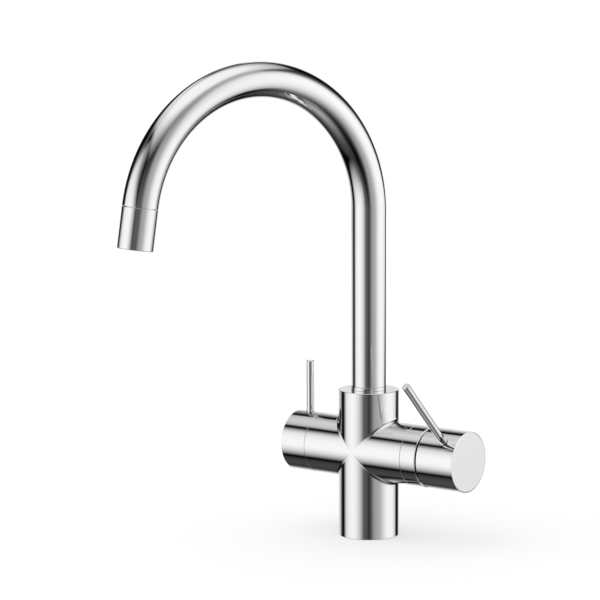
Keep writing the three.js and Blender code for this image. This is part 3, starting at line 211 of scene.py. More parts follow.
FINISHES = (
    # Bright chrome on nickel on polished brass: a clean mirror, with hardly any haze.
    Finish(
        "bright_chrome_plate", Slot.CHROME, "f6f6f6", 0.022, 1.0, roughness_spread=0.008, patch_size=35.0
    ),
    # Turned brass that nobody sees: yellow, dulled a little by the tool.
    Finish(
        "turned_brass", Slot.BRASS, "c9a352", 0.32, 1.0,
        roughness_spread=0.06, patch_size=6.0, grain_size=0.35, grain_depth=0.004, colour_spread=0.06,
    ),
    # Stainless spring steel and bar: grey, slightly satin.
    Finish(
        "stainless_steel", Slot.STEEL, "b9bbbd", 0.28, 1.0,
        roughness_spread=0.05, patch_size=5.0, grain_size=0.3, grain_depth=0.003, colour_spread=0.03,
    ),
    # EPDM rubber, moulded: black and matt, with a fine tooth.
    Finish(
        "epdm_rubber", Slot.RUBBER, "1d1d1e", 0.72, ior=1.52,
        roughness_spread=0.08, patch_size=3.0, grain_size=0.25, grain_depth=0.01, colour_spread=0.1,
    ),
    # Acetal, moulded: white and waxy.
    Finish(
        "white_acetal", Slot.WHITE_PLASTIC, "e4e4e0", 0.42, ior=1.48,
        roughness_spread=0.05, patch_size=8.0, grain_size=0.5, grain_depth=0.004, colour_spread=0.02,
    ),
    # Glass-filled nylon, moulded: grey, with a dull flow grain.
    Finish(
        "grey_filled_nylon", Slot.GREY_PLASTIC, "8a8d90", 0.5, ior=1.53,
        roughness_spread=0.06, patch_size=6.0, grain_size=0.4, grain_depth=0.008, colour_spread=0.05,
    ),
    # Lapped alumina: off-white and smooth, with a soft shine.
    Finish(
        "lapped_alumina", Slot.CERAMIC, "efece3", 0.18, ior=1.76,
        roughness_spread=0.03, patch_size=4.0, grain_size=0.2, grain_depth=0.001, colour_spread=0.02,
    ),
)


class Paintbox:
    """The materials of the tap, one for each finish."""

    def __init__(self) -> None:
        """Builds every material once."""
        self.materials = {finish.slot: finish.build() for finish in FINISHES}

    def paint(self, mesh: bpy.types.Mesh, slot: Slot) -> None:
        """Gives a mesh the material of a slot, and no other."""
        mesh.materials.clear()
        mesh.materials.append(self.materials[slot])

    def dress_nodes(self) -> None:
        """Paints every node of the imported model, by its slot in the record."""
        for part in frame["record"]["subparts"]:
            self.paint(frame["nodes"][part["node"]].data, Slot(part["material_slot"]))
            LOG.info("%s: dressed in %s", part["node"], part["material_slot"])


# ---- Surfaces ------------------------------------------------------------------------------------


@dataclass(frozen=True)
class Stretch:
    """A stretch of an outline: its points and its outward normals, as [radius, height] rows."""

    points: np.ndarray
    normals: np.ndarray


def outline(corners: Sequence[Corner], closed: bool = False) -> list[Stretch]:
    """Rounds the corners of an outline that is listed counter-clockwise.

    Args:
        corners: The corners, in order.
        closed: Whether the outline comes back to its first corner.

    Returns:
        The straight and round stretches, in order.
    """
    places = [np.array(corner[:2], float) for corner in corners]
    count = len(places)
    arcs: list[Optional[Stretch]] = []
    ends: list[tuple[np.ndarray, np.ndarray]] = []
    for i, place in enumerate(places):
        rounding = corners[i][2] if len(corners[i]) > 2 else 0.0
        if rounding <= 0 or not (closed or 0 < i < count - 1):
            arcs.append(None)
            ends.append((place, place))
            continue
        before = place - places[i - 1]
        after = places[(i + 1) % count] - place
        before, after = before / np.linalg.norm(before), after / np.linalg.norm(after)
        turn = math.atan2(before[0] * after[1] - before[1] * after[0], float(before @ after))
        reach = rounding * math.tan(abs(turn) / 2)
        start = place - before * reach
        radius = math.copysign(rounding, turn)
        normal = np.array([before[1], -before[0]])
        angles = np.linspace(0, turn, ROUND_STEPS + 1)
        normals = np.outer(np.cos(angles), normal) + np.outer(np.sin(angles), before)
        arcs.append(Stretch(start + (normals - normal) * radius, normals))
        ends.append((start, place + after * reach))
    stretches: list[Stretch] = []
    for i in range(count if closed else count - 1):
        if arcs[i] is not None:
            stretches.append(arcs[i])
        line = np.array([ends[i][1], ends[(i + 1) % count][0]])
        run = line[1] - line[0]
        if np.linalg.norm(run) > NEGLIGIBLE:
            normal = np.array([run[1], -run[0]]) / np.linalg.norm(run)
            stretches.append(Stretch(line, np.array([normal, normal])))
    return stretches


@dataclass
class Skin:
    """A closed surface that is gathered patch by patch, with the exact normals of each patch."""

    place: Matrix = field(default_factory=lambda: UPRIGHT)
    points: list[np.ndarray] = field(default_factory=list)
    normals: list[np.ndarray] = field(default_factory=list)
    quads: list[np.ndarray] = field(default_factory=list)
    count: int = 0

    def patch(self, points: np.ndarray, normals: np.ndarray) -> None:
        """Adds a patch of rows and columns of points.

        Args:
            points: Points in the skin's own frame, as rows x columns x 3.
            normals: Their outward normals.
        """
        rows, columns = points.shape[:2]
        index = np.arange(rows * columns).reshape(rows, columns) + self.count
        quads = np.stack([index[:-1, :-1], index[1:, :-1], index[1:, 1:], index[:-1, 1:]], axis=-1)
        faces = np.cross(points[1:, 1:] - points[:-1, :-1], points[:-1, 1:] - points[1:, :-1])
        if float(np.sum(faces * (normals[1:, 1:] + normals[:-1, :-1]))) < 0:
            quads = quads[..., ::-1]
        turn = np.array(self.place.to_3x3())
        self.points.append(points.reshape(-1, 3) @ turn.T + np.array(self.place.translation))
        self.normals.append(normals.reshape(-1, 3) @ turn.T)
        self.quads.append(quads.reshape(-1, 4))
        self.count += rows * columns

    def lathe(self, stretches: Iterable[Stretch], segments: int = LARGE_SEGMENTS) -> None:
        """Revolves the stretches of an outline about the skin's own +Z.

        Args:
            stretches: The stretches.
            segments: The number of facets around.
        """
        angles = np.linspace(0, 2 * math.pi, segments + 1)
        cosine, sine, level = np.cos(angles), np.sin(angles), np.ones_like(angles)
        for stretch in stretches:
            grids = []
            for rows in (stretch.points, stretch.normals):
                out, up = rows[:, :1], rows[:, 1:]
                grids.append(np.stack([out * cosine, out * sine, up * level], axis=-1))
            self.patch(*grids)

    def mesh(self, name: str) -> bpy.types.Mesh:
        """Joins the patches into one closed mesh that keeps their normals.

        Args:
            name: Name of the mesh.

        Returns:
            The mesh, in metres.
        """
        points = np.concatenate(self.points) * MM
        normals = np.concatenate(self.normals)
        grid = np.round(points / MERGE_GRID)
        _, first, merged = np.unique(grid, axis=0, return_index=True, return_inverse=True)
        merged = merged.reshape(-1)
        faces, corners = [], []
        for quad in np.concatenate(self.quads):
            kept = [int(j) for i, j in enumerate(quad) if merged[j] != merged[quad[i - 1]]]
            face = [int(merged[j]) for j in kept]
            if len(set(face)) >= 3:
                faces.append(face)
                corners.extend(kept)
        mesh = bpy.data.meshes.new(name)
        mesh.from_pydata(points[first].tolist(), [], faces)
        mesh.polygons.foreach_set("use_smooth", [True] * len(faces))
        mesh.normals_split_custom_set(normals[corners].tolist())
        mesh.update()
        return mesh


def turned(
    name: str,
    corners: Sequence[Corner],
    place: Matrix = UPRIGHT,
    segments: int = LARGE_SEGMENTS,
    closed: bool = False,
) -> bpy.types.Mesh:
    """Turns a mesh from an outline, about a frame's +Z.

    Args:
        name: Name of the mesh.
        corners: The corners of the outline, counter-clockwise.
        place: The frame.
        segments: The number of facets around.
        closed: Whether the outline comes back to its first corner, as a ring's does.

    Returns:
        The mesh, in metres.
    """
    skin = Skin(place)
    skin.lathe(outline(corners, closed), segments)
    return skin.mesh(name)


def rod(place: Matrix, radius: float, low: float, high: float) -> bpy.types.Mesh:
    """Makes a plain closed rod that cuts a round hole along a frame's +Z.

    Args:
        place: The frame.
        radius: The hole's radius.
        low: Height of the rod's lower end.
        high: Height of its upper end.

    Returns:
        The rod, in metres.
    """
    corners = [(0, low), (radius, low), (radius, high), (0, high)]
    return turned("rod", corners, place, HOLE_SEGMENTS)


def prism(place: Matrix, section: Sequence[tuple[float, float]], low: float, high: float) -> bpy.types.Mesh:
    """Makes a closed prism that cuts a hole with flat sides along a frame's +Z.

    Args:
        place: The frame.
        section: (x, y) of the section's corners, in order.
        low: Height of the prism's lower end.
        high: Height of its upper end.

    Returns:
        The prism, in metres.
    """
    count = len(section)
    points = [place @ Vector((x, y, z)) * MM for z in (low, high) for x, y in section]
    faces = [tuple(range(count)), tuple(range(count, 2 * count))]
    faces += [(i, (i + 1) % count, (i + 1) % count + count, i + count) for i in range(count)]
    mesh = bpy.data.meshes.new("prism")
    mesh.from_pydata(points, [], faces)
    work = bmesh.new()
    work.from_mesh(mesh)
    bmesh.ops.recalc_face_normals(work, faces=work.faces)
    work.to_mesh(mesh)
    work.free()
    return mesh


def arm_frame(axis_height: float, right: bool, turn: float = 0.0) -> Matrix:
    """The frame of an arm: its +Z runs outwards, and its +X points up, or turns forward by an angle.

    Args:
        axis_height: Height of the arms' axis.
        right: Whether it is the right arm.
        turn: Radians that +X is turned towards the user.

    Returns:
        The frame's matrix.
    """
    side = 1.0 if right else -1.0
    base = Matrix(((0, 0, side, 0), (0, -side, 0, 0), (1, 0, 0, axis_height), (0, 0, 0, 1)))
    return base @ Matrix.Rotation(turn * side, 4, "Z")


def put(data: bpy.types.ID, name: str) -> bpy.types.Object:
    """Puts data, such as a mesh or a camera's, into the scene as an object.

    Args:
        data: The data.
        name: Name of the object.

    Returns:
        The new object.
    """
    placed = bpy.data.objects.new(name, data)
    bpy.context.scene.collection.objects.link(placed)
    return placed


class Workshop:
    """Makes objects of meshes and dresses them."""

    def __init__(self, paintbox: Paintbox) -> None:
        """Keeps the materials at hand."""
        self.paintbox = paintbox

    def piece(self, mesh: bpy.types.Mesh, body: Body, slot: Slot, *nodes: str) -> bpy.types.Object:
        """Puts a mesh into the scene as a finished piece.

        Args:
            mesh: The mesh, in place, in metres.
            body: The body that it rides on.
            slot: Its material slot.
            *nodes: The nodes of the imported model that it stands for.

        Returns:
            The new object.
        """
        piece = put(mesh, mesh.name)
        self.paintbox.paint(mesh, slot)
        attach(piece, body.value)
        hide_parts(*nodes)
        return piece

    def drill(self, mesh: bpy.types.Mesh, tools: Sequence[bpy.types.Mesh]) -> bpy.types.Mesh:
        """Cuts holes into a mesh and gives the skin round them its own normals back.

        Args:
            mesh: The mesh to cut, with its exact normals.
            tools: Closed meshes to cut away.

        Returns:
            The cut mesh, under the same name.
        """
        name = mesh.name
        mesh.name = name + "_uncut"
        whole = put(mesh, mesh.name)
        cutters = [put(tool, tool.name) for tool in tools]
        for cutter in cutters:
            modifier = whole.modifiers.new("hole", "BOOLEAN")
            modifier.operation, modifier.solver, modifier.object = "DIFFERENCE", "EXACT", cutter
        graph = bpy.context.evaluated_depsgraph_get()
        cut = bpy.data.meshes.new_from_object(whole.evaluated_get(graph))
        cut.name = name
        cut.polygons.foreach_set("use_smooth", [True] * len(cut.polygons))
        cut.normals_split_custom_set(self._normals_from(mesh, cut))
        for done in [whole, *cutters]:
            bpy.data.objects.remove(done)
        return cut

    @staticmethod
    def _normals_from(source: bpy.types.Mesh, cut: bpy.types.Mesh) -> list[tuple[float, float, float]]:
        """Reads each corner's normal off the uncut skin, or keeps the face's own on a hole's wall.

        Args:
            source: The uncut mesh, with its exact normals.
            cut: The mesh with its holes.

        Returns:
            The normal of each corner of the cut mesh.
        """
        vertices = [vertex.co.copy() for vertex in source.vertices]
        tree = BVHTree.FromPolygons(vertices, [tuple(face.vertices) for face in source.polygons])
        exact = [Vector(corner.vector) for corner in source.corner_normals]
        normals: list[tuple[float, float, float]] = [(0.0, 0.0, 1.0)] * len(cut.loops)
        for polygon in cut.polygons:
            for loop in polygon.loop_indices:
                place = cut.vertices[cut.loops[loop].vertex_index].co
                _, normal, index, distance = tree.find_nearest(place.lerp(polygon.center, INTO_FACE))
                if distance > SKIN_DISTANCE or normal.dot(polygon.normal) < SKIN_COSINE:
                    normals[loop] = tuple(polygon.normal)
                    continue
                face = source.polygons[index]
                weights = poly_3d_calc([vertices[i] / MM for i in face.vertices], place / MM)
                mixed = Vector((0, 0, 0))
                for weight, corner in zip(weights, face.loop_indices):
                    mixed += exact[corner] * weight
                normals[loop] = tuple(mixed.normalized())
        return normals


@dataclass
class NodeRecipe:
    """A Geometry Nodes tree with named inputs, ready to be attached to an object."""

    name: str
    sizes: dict[str, float]
    plan: Callable[[bpy.types.NodeTree, dict[str, Any]], bpy.types.Node]

    def attach(self, carrier: bpy.types.Object, material: bpy.types.Material) -> None:
        """Builds the tree and gives it to an object, with its inputs set.

        Args:
            carrier: The object that gets the modifier.
            material: What the tree's last node dresses the mesh with.
        """
        tree = bpy.data.node_groups.new(self.name, "GeometryNodeTree")
        kinds = {"Geometry": "Geometry", "Material": "Material"}
        kinds |= {name: "Int" if isinstance(size, int) else "Float" for name, size in self.sizes.items()}
        sockets = {
            name: tree.interface.new_socket(name, in_out="INPUT", socket_type="NodeSocket" + kind)
            for name, kind in kinds.items()
        }
        tree.interface.new_socket("Geometry", in_out="OUTPUT", socket_type="NodeSocketGeometry")
        given = add_node(tree, "NodeGroupInput").outputs
        shape = self.plan(tree, {name: given[name] for name in kinds})
        real = add_node(tree, "GeometryNodeRealizeInstances", Geometry=shape)
        dressed = add_node(tree, "GeometryNodeSetMaterial", Geometry=real, Material=given["Material"])
        add_node(tree, "NodeGroupOutput", Geometry=dressed)
        modifier = carrier.modifiers.new(self.name, "NODES")
        modifier.node_group = tree
        for name, value in {**self.sizes, "Material": material}.items():
            modifier[sockets[name].identifier] = value


def bake(carrier: bpy.types.Object, name: str) -> bpy.types.Mesh:
    """Turns an object with its modifiers into a plain mesh, and removes the object.

    Args:
        carrier: The object to evaluate.
        name: Name of the new mesh.

    Returns:
        The plain mesh.
    """
    graph = bpy.context.evaluated_depsgraph_get()
    mesh = bpy.data.meshes.new_from_object(
        carrier.evaluated_get(graph), preserve_all_data_layers=True, depsgraph=graph
    )
    mesh.name = name
    bpy.data.objects.remove(carrier)
    return mesh


# ---- Body ----------------------------------------------------------------------------------------


@dataclass
class CrossBody:
    """The fixed body: two crossing cylinders of one diameter, with a rolling-ball fillet between them.

    The margins are how far the outline of each end reaches in from the end.
    """

    radius: float = 24.0
    height: float = 117.8
    arm_height: float = 69.5
    arm_reach: float = 46.7
    fillet: float = 3.4
    upright_margin: float = 3.0
    arm_margin: float = 2.0
    rim: tuple[float, float] = (0.22, 0.26)
    rim_rounding: float = 0.12
    seam_rim: tuple[float, float] = (0.65, 0.28)
    seam_roundings: tuple[float, float] = (0.1, 0.2)
    foot_bevel: float = 0.25
    foot_roundings: tuple[float, float, float] = (0.2, 0.1, 0.15)
    foot_bore: tuple[float, float] = (18.3, 24.0)
    seal_groove: tuple[float, float, float] = (20.2, 22.6, 2.1)
    socket_steps: Steps = ((13.6, 97.5), (11.5, 74.0), (5.3, 66.0), (3.8, 54.5))
    cartridge_steps: Steps = ((20.3, 38.0), (17.8, 24.0))
    valve_steps: Steps = ((14.0, 40.1), (11.0, 20.3))
    skin: Skin = field(default_factory=Skin)

    @property
    def ball(self) -> float:
        """Distance from an axis to the middle of the ball that rolls along the fillet."""
        return self.radius + self.fillet

    def build(self, shop: Workshop) -> list[bpy.types.Object]:
        """Builds the casting.

        Args:
            shop: The workshop that dresses it.

        Returns:
            The finished piece.
        """
        self._crossing()
        for across in (-1, 1):
            for up in (-1, 1):
                self._fillet(across, up)
        self._foot()
        self._top()
        self._arm_end(True, self.cartridge_steps)
        self._arm_end(False, self.valve_steps)
        return [shop.piece(self.skin.mesh("chrome_body"), Body.TAP, Slot.CHROME, "body_casting")]

    def _crossing(self) -> None:
        """Tiles both cylinders, from the ball's contact lines to the margins."""
        around = np.linspace(0, 2 * math.pi, LARGE_SEGMENTS + 1)
        cosine, sine, nil = np.cos(around), np.sin(around), np.zeros_like(around)
        contact = self.ball * np.abs(cosine)
        wide, deep = self.radius * cosine, self.radius * sine
        outward = np.stack([cosine, sine, nil], axis=-1)
        for end, side in ((self.height - self.upright_margin, 1), (self.upright_margin, -1)):
            levels = (self.arm_height + side * contact, nil + end)
            rows = [np.stack([wide, deep, level], axis=-1) for level in levels]
            self.skin.patch(np.stack(rows), np.stack([outward, outward]))
        outward = np.stack([nil, sine, cosine], axis=-1)
        for side in (-1, 1):
            reaches = (side * contact, nil + side * (self.arm_reach - self.arm_margin))
            rows = [np.stack([reach, deep, self.arm_height + wide], axis=-1) for reach in reaches]
            self.skin.patch(np.stack(rows), np.stack([outward, outward]))

    def _fillet(self, across: int, up: int) -> None:
        """Adds one quarter of the fillet, which narrows to a point at the front and at the back.

        Args:
            across: 1 for the right arm's side, -1 for the left arm's.
            up: 1 for the quarter above the arm, -1 for the one below.
        """
        angles = np.linspace(-math.pi / 2, math.pi / 2, LARGE_SEGMENTS // 2 + 1)
        cosine, sine, nil = np.cos(angles), np.sin(angles), np.zeros_like(angles)
        shift = self.ball * cosine
        centre = np.stack([across * shift, self.ball * sine, self.arm_height + up * shift], axis=-1)
        to_upright = np.stack([across * cosine, sine, nil], axis=-1)
        to_arm = np.stack([nil, sine, up * cosine], axis=-1)
        between = np.arccos(np.clip(sine * sine, -1, 1))[:, None]
        span = np.maximum(np.sin(between), NEGLIGIBLE)
        rows = []
        for step in np.linspace(0, 1, 2 * ROUND_STEPS + 1):
            first, second = (
                np.where(between < NEGLIGIBLE, share, np.sin(between * share) / span)
                for share in (1 - step, step)
            )
            rows.append(to_upright * first + to_arm * second)
        normals = np.stack(rows)
        normals /= np.linalg.norm(normals, axis=2, keepdims=True)
        self.skin.patch(centre - normals * self.fillet, normals)

    def _foot(self) -> None:
        """Adds the hollow foot, the seal's groove and the bottom edge."""
        bore, depth = self.foot_bore
        inner, outer, groove = self.seal_groove
        mouth, low, high = self.foot_roundings
        corners = [(0, depth), (bore, depth), (bore, 0, mouth), (inner, 0)]
        corners += [(inner, groove), (outer, groove), (outer, 0), (self.radius - self.foot_bevel, 0, low)]
        corners += [(self.radius, self.foot_bevel, high), (self.radius, self.upright_margin)]
        self.skin.lathe(outline(corners))

    def _top(self) -> None:
        """Adds the top face with its rim, and the stepped socket of the spout."""
        inward, down = self.rim
        corners = [(self.radius, self.height - self.upright_margin)]
        corners += [(self.radius, self.height - down, self.rim_rounding)]
        corners += [(self.radius - inward, self.height, self.rim_rounding)]
        self.skin.lathe(outline(corners + self._bore(self.socket_steps, self.height)))

    def _arm_end(self, right: bool, steps: Steps) -> None:
        """Adds the end of an arm with its bevelled rim, and its stepped bore.

        Args:
            right: Whether it is the right arm.
            steps: The steps of its bore.
        """
        self.skin.place = arm_frame(self.arm_height, right)
        inward, back = self.seam_rim
        side, face = self.seam_roundings
        corners = [(self.radius, self.arm_reach - self.arm_margin)]
        corners += [(self.radius, self.arm_reach - back, side), (self.radius - inward, self.arm_reach, face)]
        self.skin.lathe(outline(corners + self._bore(steps, self.arm_reach)))
        self.skin.place = UPRIGHT

    @staticmethod
    def _bore(steps: Steps, top: float) -> list[Corner]:
        """Lists the corners of a stepped bore from its mouth to its floor's middle.

        Args:
            steps: The steps, from the mouth down.
            top: Height of the mouth.

        Returns:
            The corners.
        """
        corners: list[Corner] = []
        for radius, floor in steps:
            corners += [(radius, top), (radius, floor)]
            top = floor
        return corners + [(0, top)]


# ---- Controls ------------------------------------------------------------------------------------


@dataclass
class Control:
    """A hollow round grip, drilled for its fixings, and the slim lever that stands in it.

    Places along the arm are counted from the upright's axis. A rim is a bevel, as how far it goes inwards
    and how far along the arm. A hole is its radius and how far from the arm's axis it starts. The turn and
    the relief are in radians.
    """

    grip: str
    lever: str
    body: Body
    right: bool
    turn: float
    start: float
    end: float
    wall: float
    end_wall: float
    boss_radius: float
    rim: tuple[float, float]
    end_rim: tuple[float, float]
    lever_place: float
    lever_tip: float
    grub_place: float
    square_end: float
    relief: float = 0.0
    axis_height: float = 69.5
    radius: float = 24.0
    boss_inset: float = 4.3
    rim_softness: float = 0.4
    mouth_rounding: float = 0.3
    end_roundings: tuple[float, float] = (0.15, 0.6)
    lever_hole: tuple[float, float] = (3.5, 5.7)
    grub_hole: tuple[float, float] = (2.3, 3.5)
    square_half: float = 3.8
    lever_radius: float = 3.0
    lever_seat: float = 6.0
    tip_bevel: float = 0.5
    lever_roundings: tuple[float, float, float] = (0.2, 0.5, 0.35)

    @property
    def place(self) -> Matrix:
        """The grip's frame: its +Z runs outwards and its +X points at the lever."""
        return arm_frame(self.axis_height, self.right, self.turn)

    def build(self, shop: Workshop) -> list[bpy.types.Object]:
        """Builds the grip and the lever.

        Args:
            shop: The workshop that drills and dresses them.

        Returns:
            The finished pieces.
        """
        grip = shop.drill(self._shell(), self._tools())
        return [
            shop.piece(grip, self.body, Slot.CHROME, self.grip),
            shop.piece(self._stick(), self.body, Slot.CHROME, self.lever),
        ]

    def _crosswise(self, height: float, side: int) -> Matrix:
        """The frame across the grip at a place along it: its +Z points at the lever, or away from it."""
        return self.place @ Matrix(((0, 0, side, 0), (0, 1, 0, 0), (-side, 0, 0, height), (0, 0, 0, 1)))

    def _shell(self) -> bpy.types.Mesh:
        """Turns the grip's shell: a cup with a boss inside.

        Returns:
            The shell, without its holes.
        """
        inner, boss = self.radius - self.wall, self.start + self.boss_inset
        cavity = self.end - self.end_wall
        (inward, back), (end_inward, end_back) = self.rim, self.end_rim
        side, face = self.end_roundings
        corners = [
            (0, boss), (self.boss_radius, boss), (self.boss_radius, cavity), (inner, cavity),
            (inner, self.start, self.mouth_rounding),
            (self.radius - inward, self.start, self.rim_softness * inward),
            (self.radius, self.start + back, self.rim_softness * back),
            (self.radius, self.end - end_back, side),
            (self.radius - end_inward, self.end, face),
            (0, self.end),
        ]
        return turned("chrome_" + self.grip, corners, self.place)

    def _tools(self) -> list[bpy.types.Mesh]:
        """Makes the tools for the lever, the grub screw, the square drive and the skirt's relief.

        Returns:
            Closed meshes to cut away.
        """
        outside, half = self.radius + OVERCUT, self.square_half
        square = [(-half, -half), (half, -half), (half, half), (-half, half)]
        tools = [
            rod(self._crosswise(self.lever_place, 1), *self.lever_hole, outside),
            rod(self._crosswise(self.grub_place, -1), *self.grub_hole, outside),
            prism(self.place, square, self.start + self.boss_inset - OVERCUT, self.square_end),
        ]
        if self.relief > 0:
            # The wedge frees the skirt opposite the lever, so that the grip can tip.
            below, rise = self.start - OVERCUT, outside * math.tan(self.relief)
            wedge = [(0, below), (0, self.start), (-outside, self.start + rise), (-outside, below)]
            sideways = Matrix(((1, 0, 0, 0), (0, 0, 1, 0), (0, 1, 0, 0), (0, 0, 0, 1)))
            tools.append(prism(self.place @ sideways, wedge, -outside, outside))
        return tools

    def _stick(self) -> bpy.types.Mesh:
        """Turns the lever, with its softly rounded tip.

        Returns:
            The lever, in place.
        """
        foot, side, tip = self.lever_roundings
        radius, end, bevel = self.lever_radius, self.lever_tip, self.tip_bevel
        corners = [(0, self.lever_seat), (radius, self.lever_seat, foot)]
        corners += [(radius, end - bevel, side), (radius - bevel, end, tip), (0, end)]
        place = self._crosswise(self.lever_place, 1)
        return turned("chrome_" + self.lever, corners, place, SMALL_SEGMENTS)


@dataclass
class CoverRing:
    """The fixed ring between the body's seam and the gap in which the mixer cap moves."""

    start: float = 46.85
    end: float = 60.7
    radius: float = 24.0
    hub: float = 19.3
    mouth: float = 16.5
    mouth_rounding: float = 0.3
    lip: float = 2.5
    seam_bevel: float = 0.15
    seam_roundings: tuple[float, float] = (0.05, 0.15)
    gap_rim: tuple[float, float] = (1.1, 0.4)
    gap_rounding: float = 0.2
    axis_height: float = 69.5

    def build(self, shop: Workshop) -> list[bpy.types.Object]:
        """Builds the ring.

        Args:
            shop: The workshop that dresses it.

        Returns:
            The finished piece.
        """
        (inward, back), (face, side) = self.gap_rim, self.seam_roundings
        corners = [
            (self.hub, self.start),
            (self.radius - self.seam_bevel, self.start, face),
            (self.radius, self.start + self.seam_bevel, side),
            (self.radius, self.end - back, self.gap_rounding),
            (self.radius - inward, self.end, self.gap_rounding),
            (self.mouth, self.end, self.mouth_rounding),
            (self.mouth, self.end - self.lip),
            (self.hub, self.end - self.lip),
        ]
        ring = turned("chrome_cover_ring", corners, arm_frame(self.axis_height, True), closed=True)
        return [shop.piece(ring, Body.TAP, Slot.CHROME, "mixer_cover_ring")]


# ---- Spout ---------------------------------------------------------------------------------------


@dataclass
class SwanNeck:
    """The swan-neck tube, the ring below it and the outlet at its end.

    The radius and the spring height are a hair under the solid's, so that the smooth tube stays inside the
    box of the faceted one.
    """

    radius: float = 13.745
    wall: float = 1.4
    bottom: float = 120.6
    spring: float = 261.16
    bend_radius: float = 107.7
    bend_angle: float = math.radians(171.2)
    rest_angle: float = math.radians(-107.2)
    tube_segments: tuple[int, int] = (192, 360)
    end_bevel: float = 0.25
    end_bevel_steps: int = 4
    end_bevel_angle: float = math.radians(60)
    ring_bottom: float = 117.86
    ring_height: float = 2.68
    ring_bore: float = 11.5
    ring_rounding: float = 0.12
    sleeve_length: float = 32.0
    sleeve_gap: float = 0.3
    sleeve_bore: float = 10.6
    sleeve_spigot: float = 5.0
    sleeve_shoulder: float = 16.7
    sleeve_roundings: tuple[float, float, float] = (0.4, 0.5, 0.4)
    spigot_play: float = 0.6
    aerator: tuple[float, float, float] = (4.8, 12.05, 12.1)
    aerator_end: float = 31.0
    aerator_roundings: tuple[float, float, float] = (0.3, 0.6, 0.3)
    jet_rings: tuple[tuple[float, int], ...] = ((7.2, 6), (9.9, 9))
    jet_radius: float = 0.8
    jet_length: float = 80.0
    jet_sides: int = 24

    def build(self, shop: Workshop) -> list[bpy.types.Object]:
        """Builds the tube, the ring, the sleeve and the aerator.

        Args:
            shop: The workshop that dresses them.

        Returns:
            The finished pieces.
        """
        chrome, white = Slot.CHROME, Slot.WHITE_PLASTIC
        tube = self._tube(shop.paintbox.materials[chrome])
        aerator = self._aerator(shop.paintbox.materials[white])
        return [
            shop.piece(tube, Body.SPOUT, chrome, "spout_tube"),
            shop.piece(self._ring(), Body.SPOUT, chrome, "glide_ring"),
            shop.piece(self._sleeve(), Body.SPOUT, chrome, "outlet_sleeve"),
            shop.piece(aerator, Body.SPOUT, white, "aerator_insert"),
        ]

    def outlet_frame(self) -> Matrix:
        """The frame at the end of the bend: its +Z runs down the outlet.

        Returns:
            The frame's matrix.
        """
        sine, cosine = math.sin(self.bend_angle), math.cos(self.bend_angle)
        along = self.bend_radius * (1 - cosine)
        up = self.spring + self.bend_radius * sine
        bent = Matrix(((cosine, 0, sine, along), (0, 1, 0, 0), (-sine, 0, cosine, up), (0, 0, 0, 1)))
        return Matrix.Rotation(self.rest_angle, 4, "Z") @ bent

    def _tube(self, material: bpy.types.Material) -> bpy.types.Mesh:
        """Sweeps the tube along its neck with Geometry Nodes, gives it its wall and softens its ends.

        Args:
            material: The tube's material.

        Returns:
            The tube, in place.
        """
        carrier = put(bpy.data.meshes.new("neck_carrier"), "neck_carrier")
        sizes = {
            "Tube Radius": self.radius * MM,
            "Bottom": self.bottom * MM,
            "Spring Height": self.spring * MM,
            "Bend Radius": self.bend_radius * MM,
            "Bend Angle": self.bend_angle,
            "Rest Angle": self.rest_angle,
            "Segments Around": self.tube_segments[0],
            "Segments Along": self.tube_segments[1],
        }
        NodeRecipe("swan_neck", sizes, self._neck_tree).attach(carrier, material)
        wall = carrier.modifiers.new("wall", "SOLIDIFY")
        wall.thickness, wall.offset, wall.use_even_offset = self.wall * MM, -1.0, True
        soft = carrier.modifiers.new("soft_ends", "BEVEL")
        soft.width, soft.segments = self.end_bevel * MM, self.end_bevel_steps
        soft.limit_method, soft.angle_limit, soft.harden_normals = "ANGLE", self.end_bevel_angle, True
        return bake(carrier, "chrome_neck")

    @staticmethod
    def _neck_tree(tree: bpy.types.NodeTree, sizes: dict[str, Any]) -> bpy.types.Node:
        """Bends a straight pipe: up the riser, then round the bend by its length beyond the spring.

        Args:
            tree: The tree that gets the nodes.
            sizes: The sockets of the sizes, by name.

        Returns:
            The node that gives the tube.
        """
        here = add_node(tree, "ShaderNodeSeparateXYZ", Vector=add_node(tree, "GeometryNodeInputPosition"))
        known = {**sizes, **{axis: here.outputs[axis] for axis in "XYZ"}}
        for name, operation, *terms in (
            ("Riser", "SUBTRACT", "Spring Height", "Bottom"),
            ("Length", "MULTIPLY_ADD", "Bend Radius", "Bend Angle", "Riser"),
            ("Travelled", "MULTIPLY_ADD", "Length", 0.5, "Z"),
            ("Risen", "MINIMUM", "Travelled", "Riser"),
            ("Height", "ADD", "Risen", "Bottom"),
            ("Beyond", "SUBTRACT", "Travelled", "Risen"),
            ("Turned", "DIVIDE", "Beyond", "Bend Radius"),
        ):
            inputs = {f"_{i}": known.get(term, term) for i, term in enumerate(terms)}
            known[name] = add_node(tree, "ShaderNodeMath", {"operation": operation}, **inputs)
        pipe = add_node(
            tree,
            "GeometryNodeMeshCylinder",
            {"fill_type": "NONE"},
            Vertices=known["Segments Around"],
            Side_Segments=known["Segments Along"],
            Radius=known["Tube Radius"],
            Depth=known["Length"],
        )
        straight = add_node(tree, "ShaderNodeCombineXYZ", X=known["X"], Y=known["Y"], Z=known["Height"])
        hub = add_node(tree, "ShaderNodeCombineXYZ", X=known["Bend Radius"], Z=known["Spring Height"])
        about_y, about_z = {"rotation_type": "Y_AXIS"}, {"rotation_type": "Z_AXIS"}
        bent = add_node(
            tree, "ShaderNodeVectorRotate", about_y, Vector=straight, Center=hub, Angle=known["Turned"]
        )
        swung = add_node(tree, "ShaderNodeVectorRotate", about_z, Vector=bent, Angle=known["Rest Angle"])
        placed = add_node(tree, "GeometryNodeSetPosition", Geometry=pipe, Position=swung)
        return add_node(tree, "GeometryNodeSetShadeSmooth", Geometry=placed)

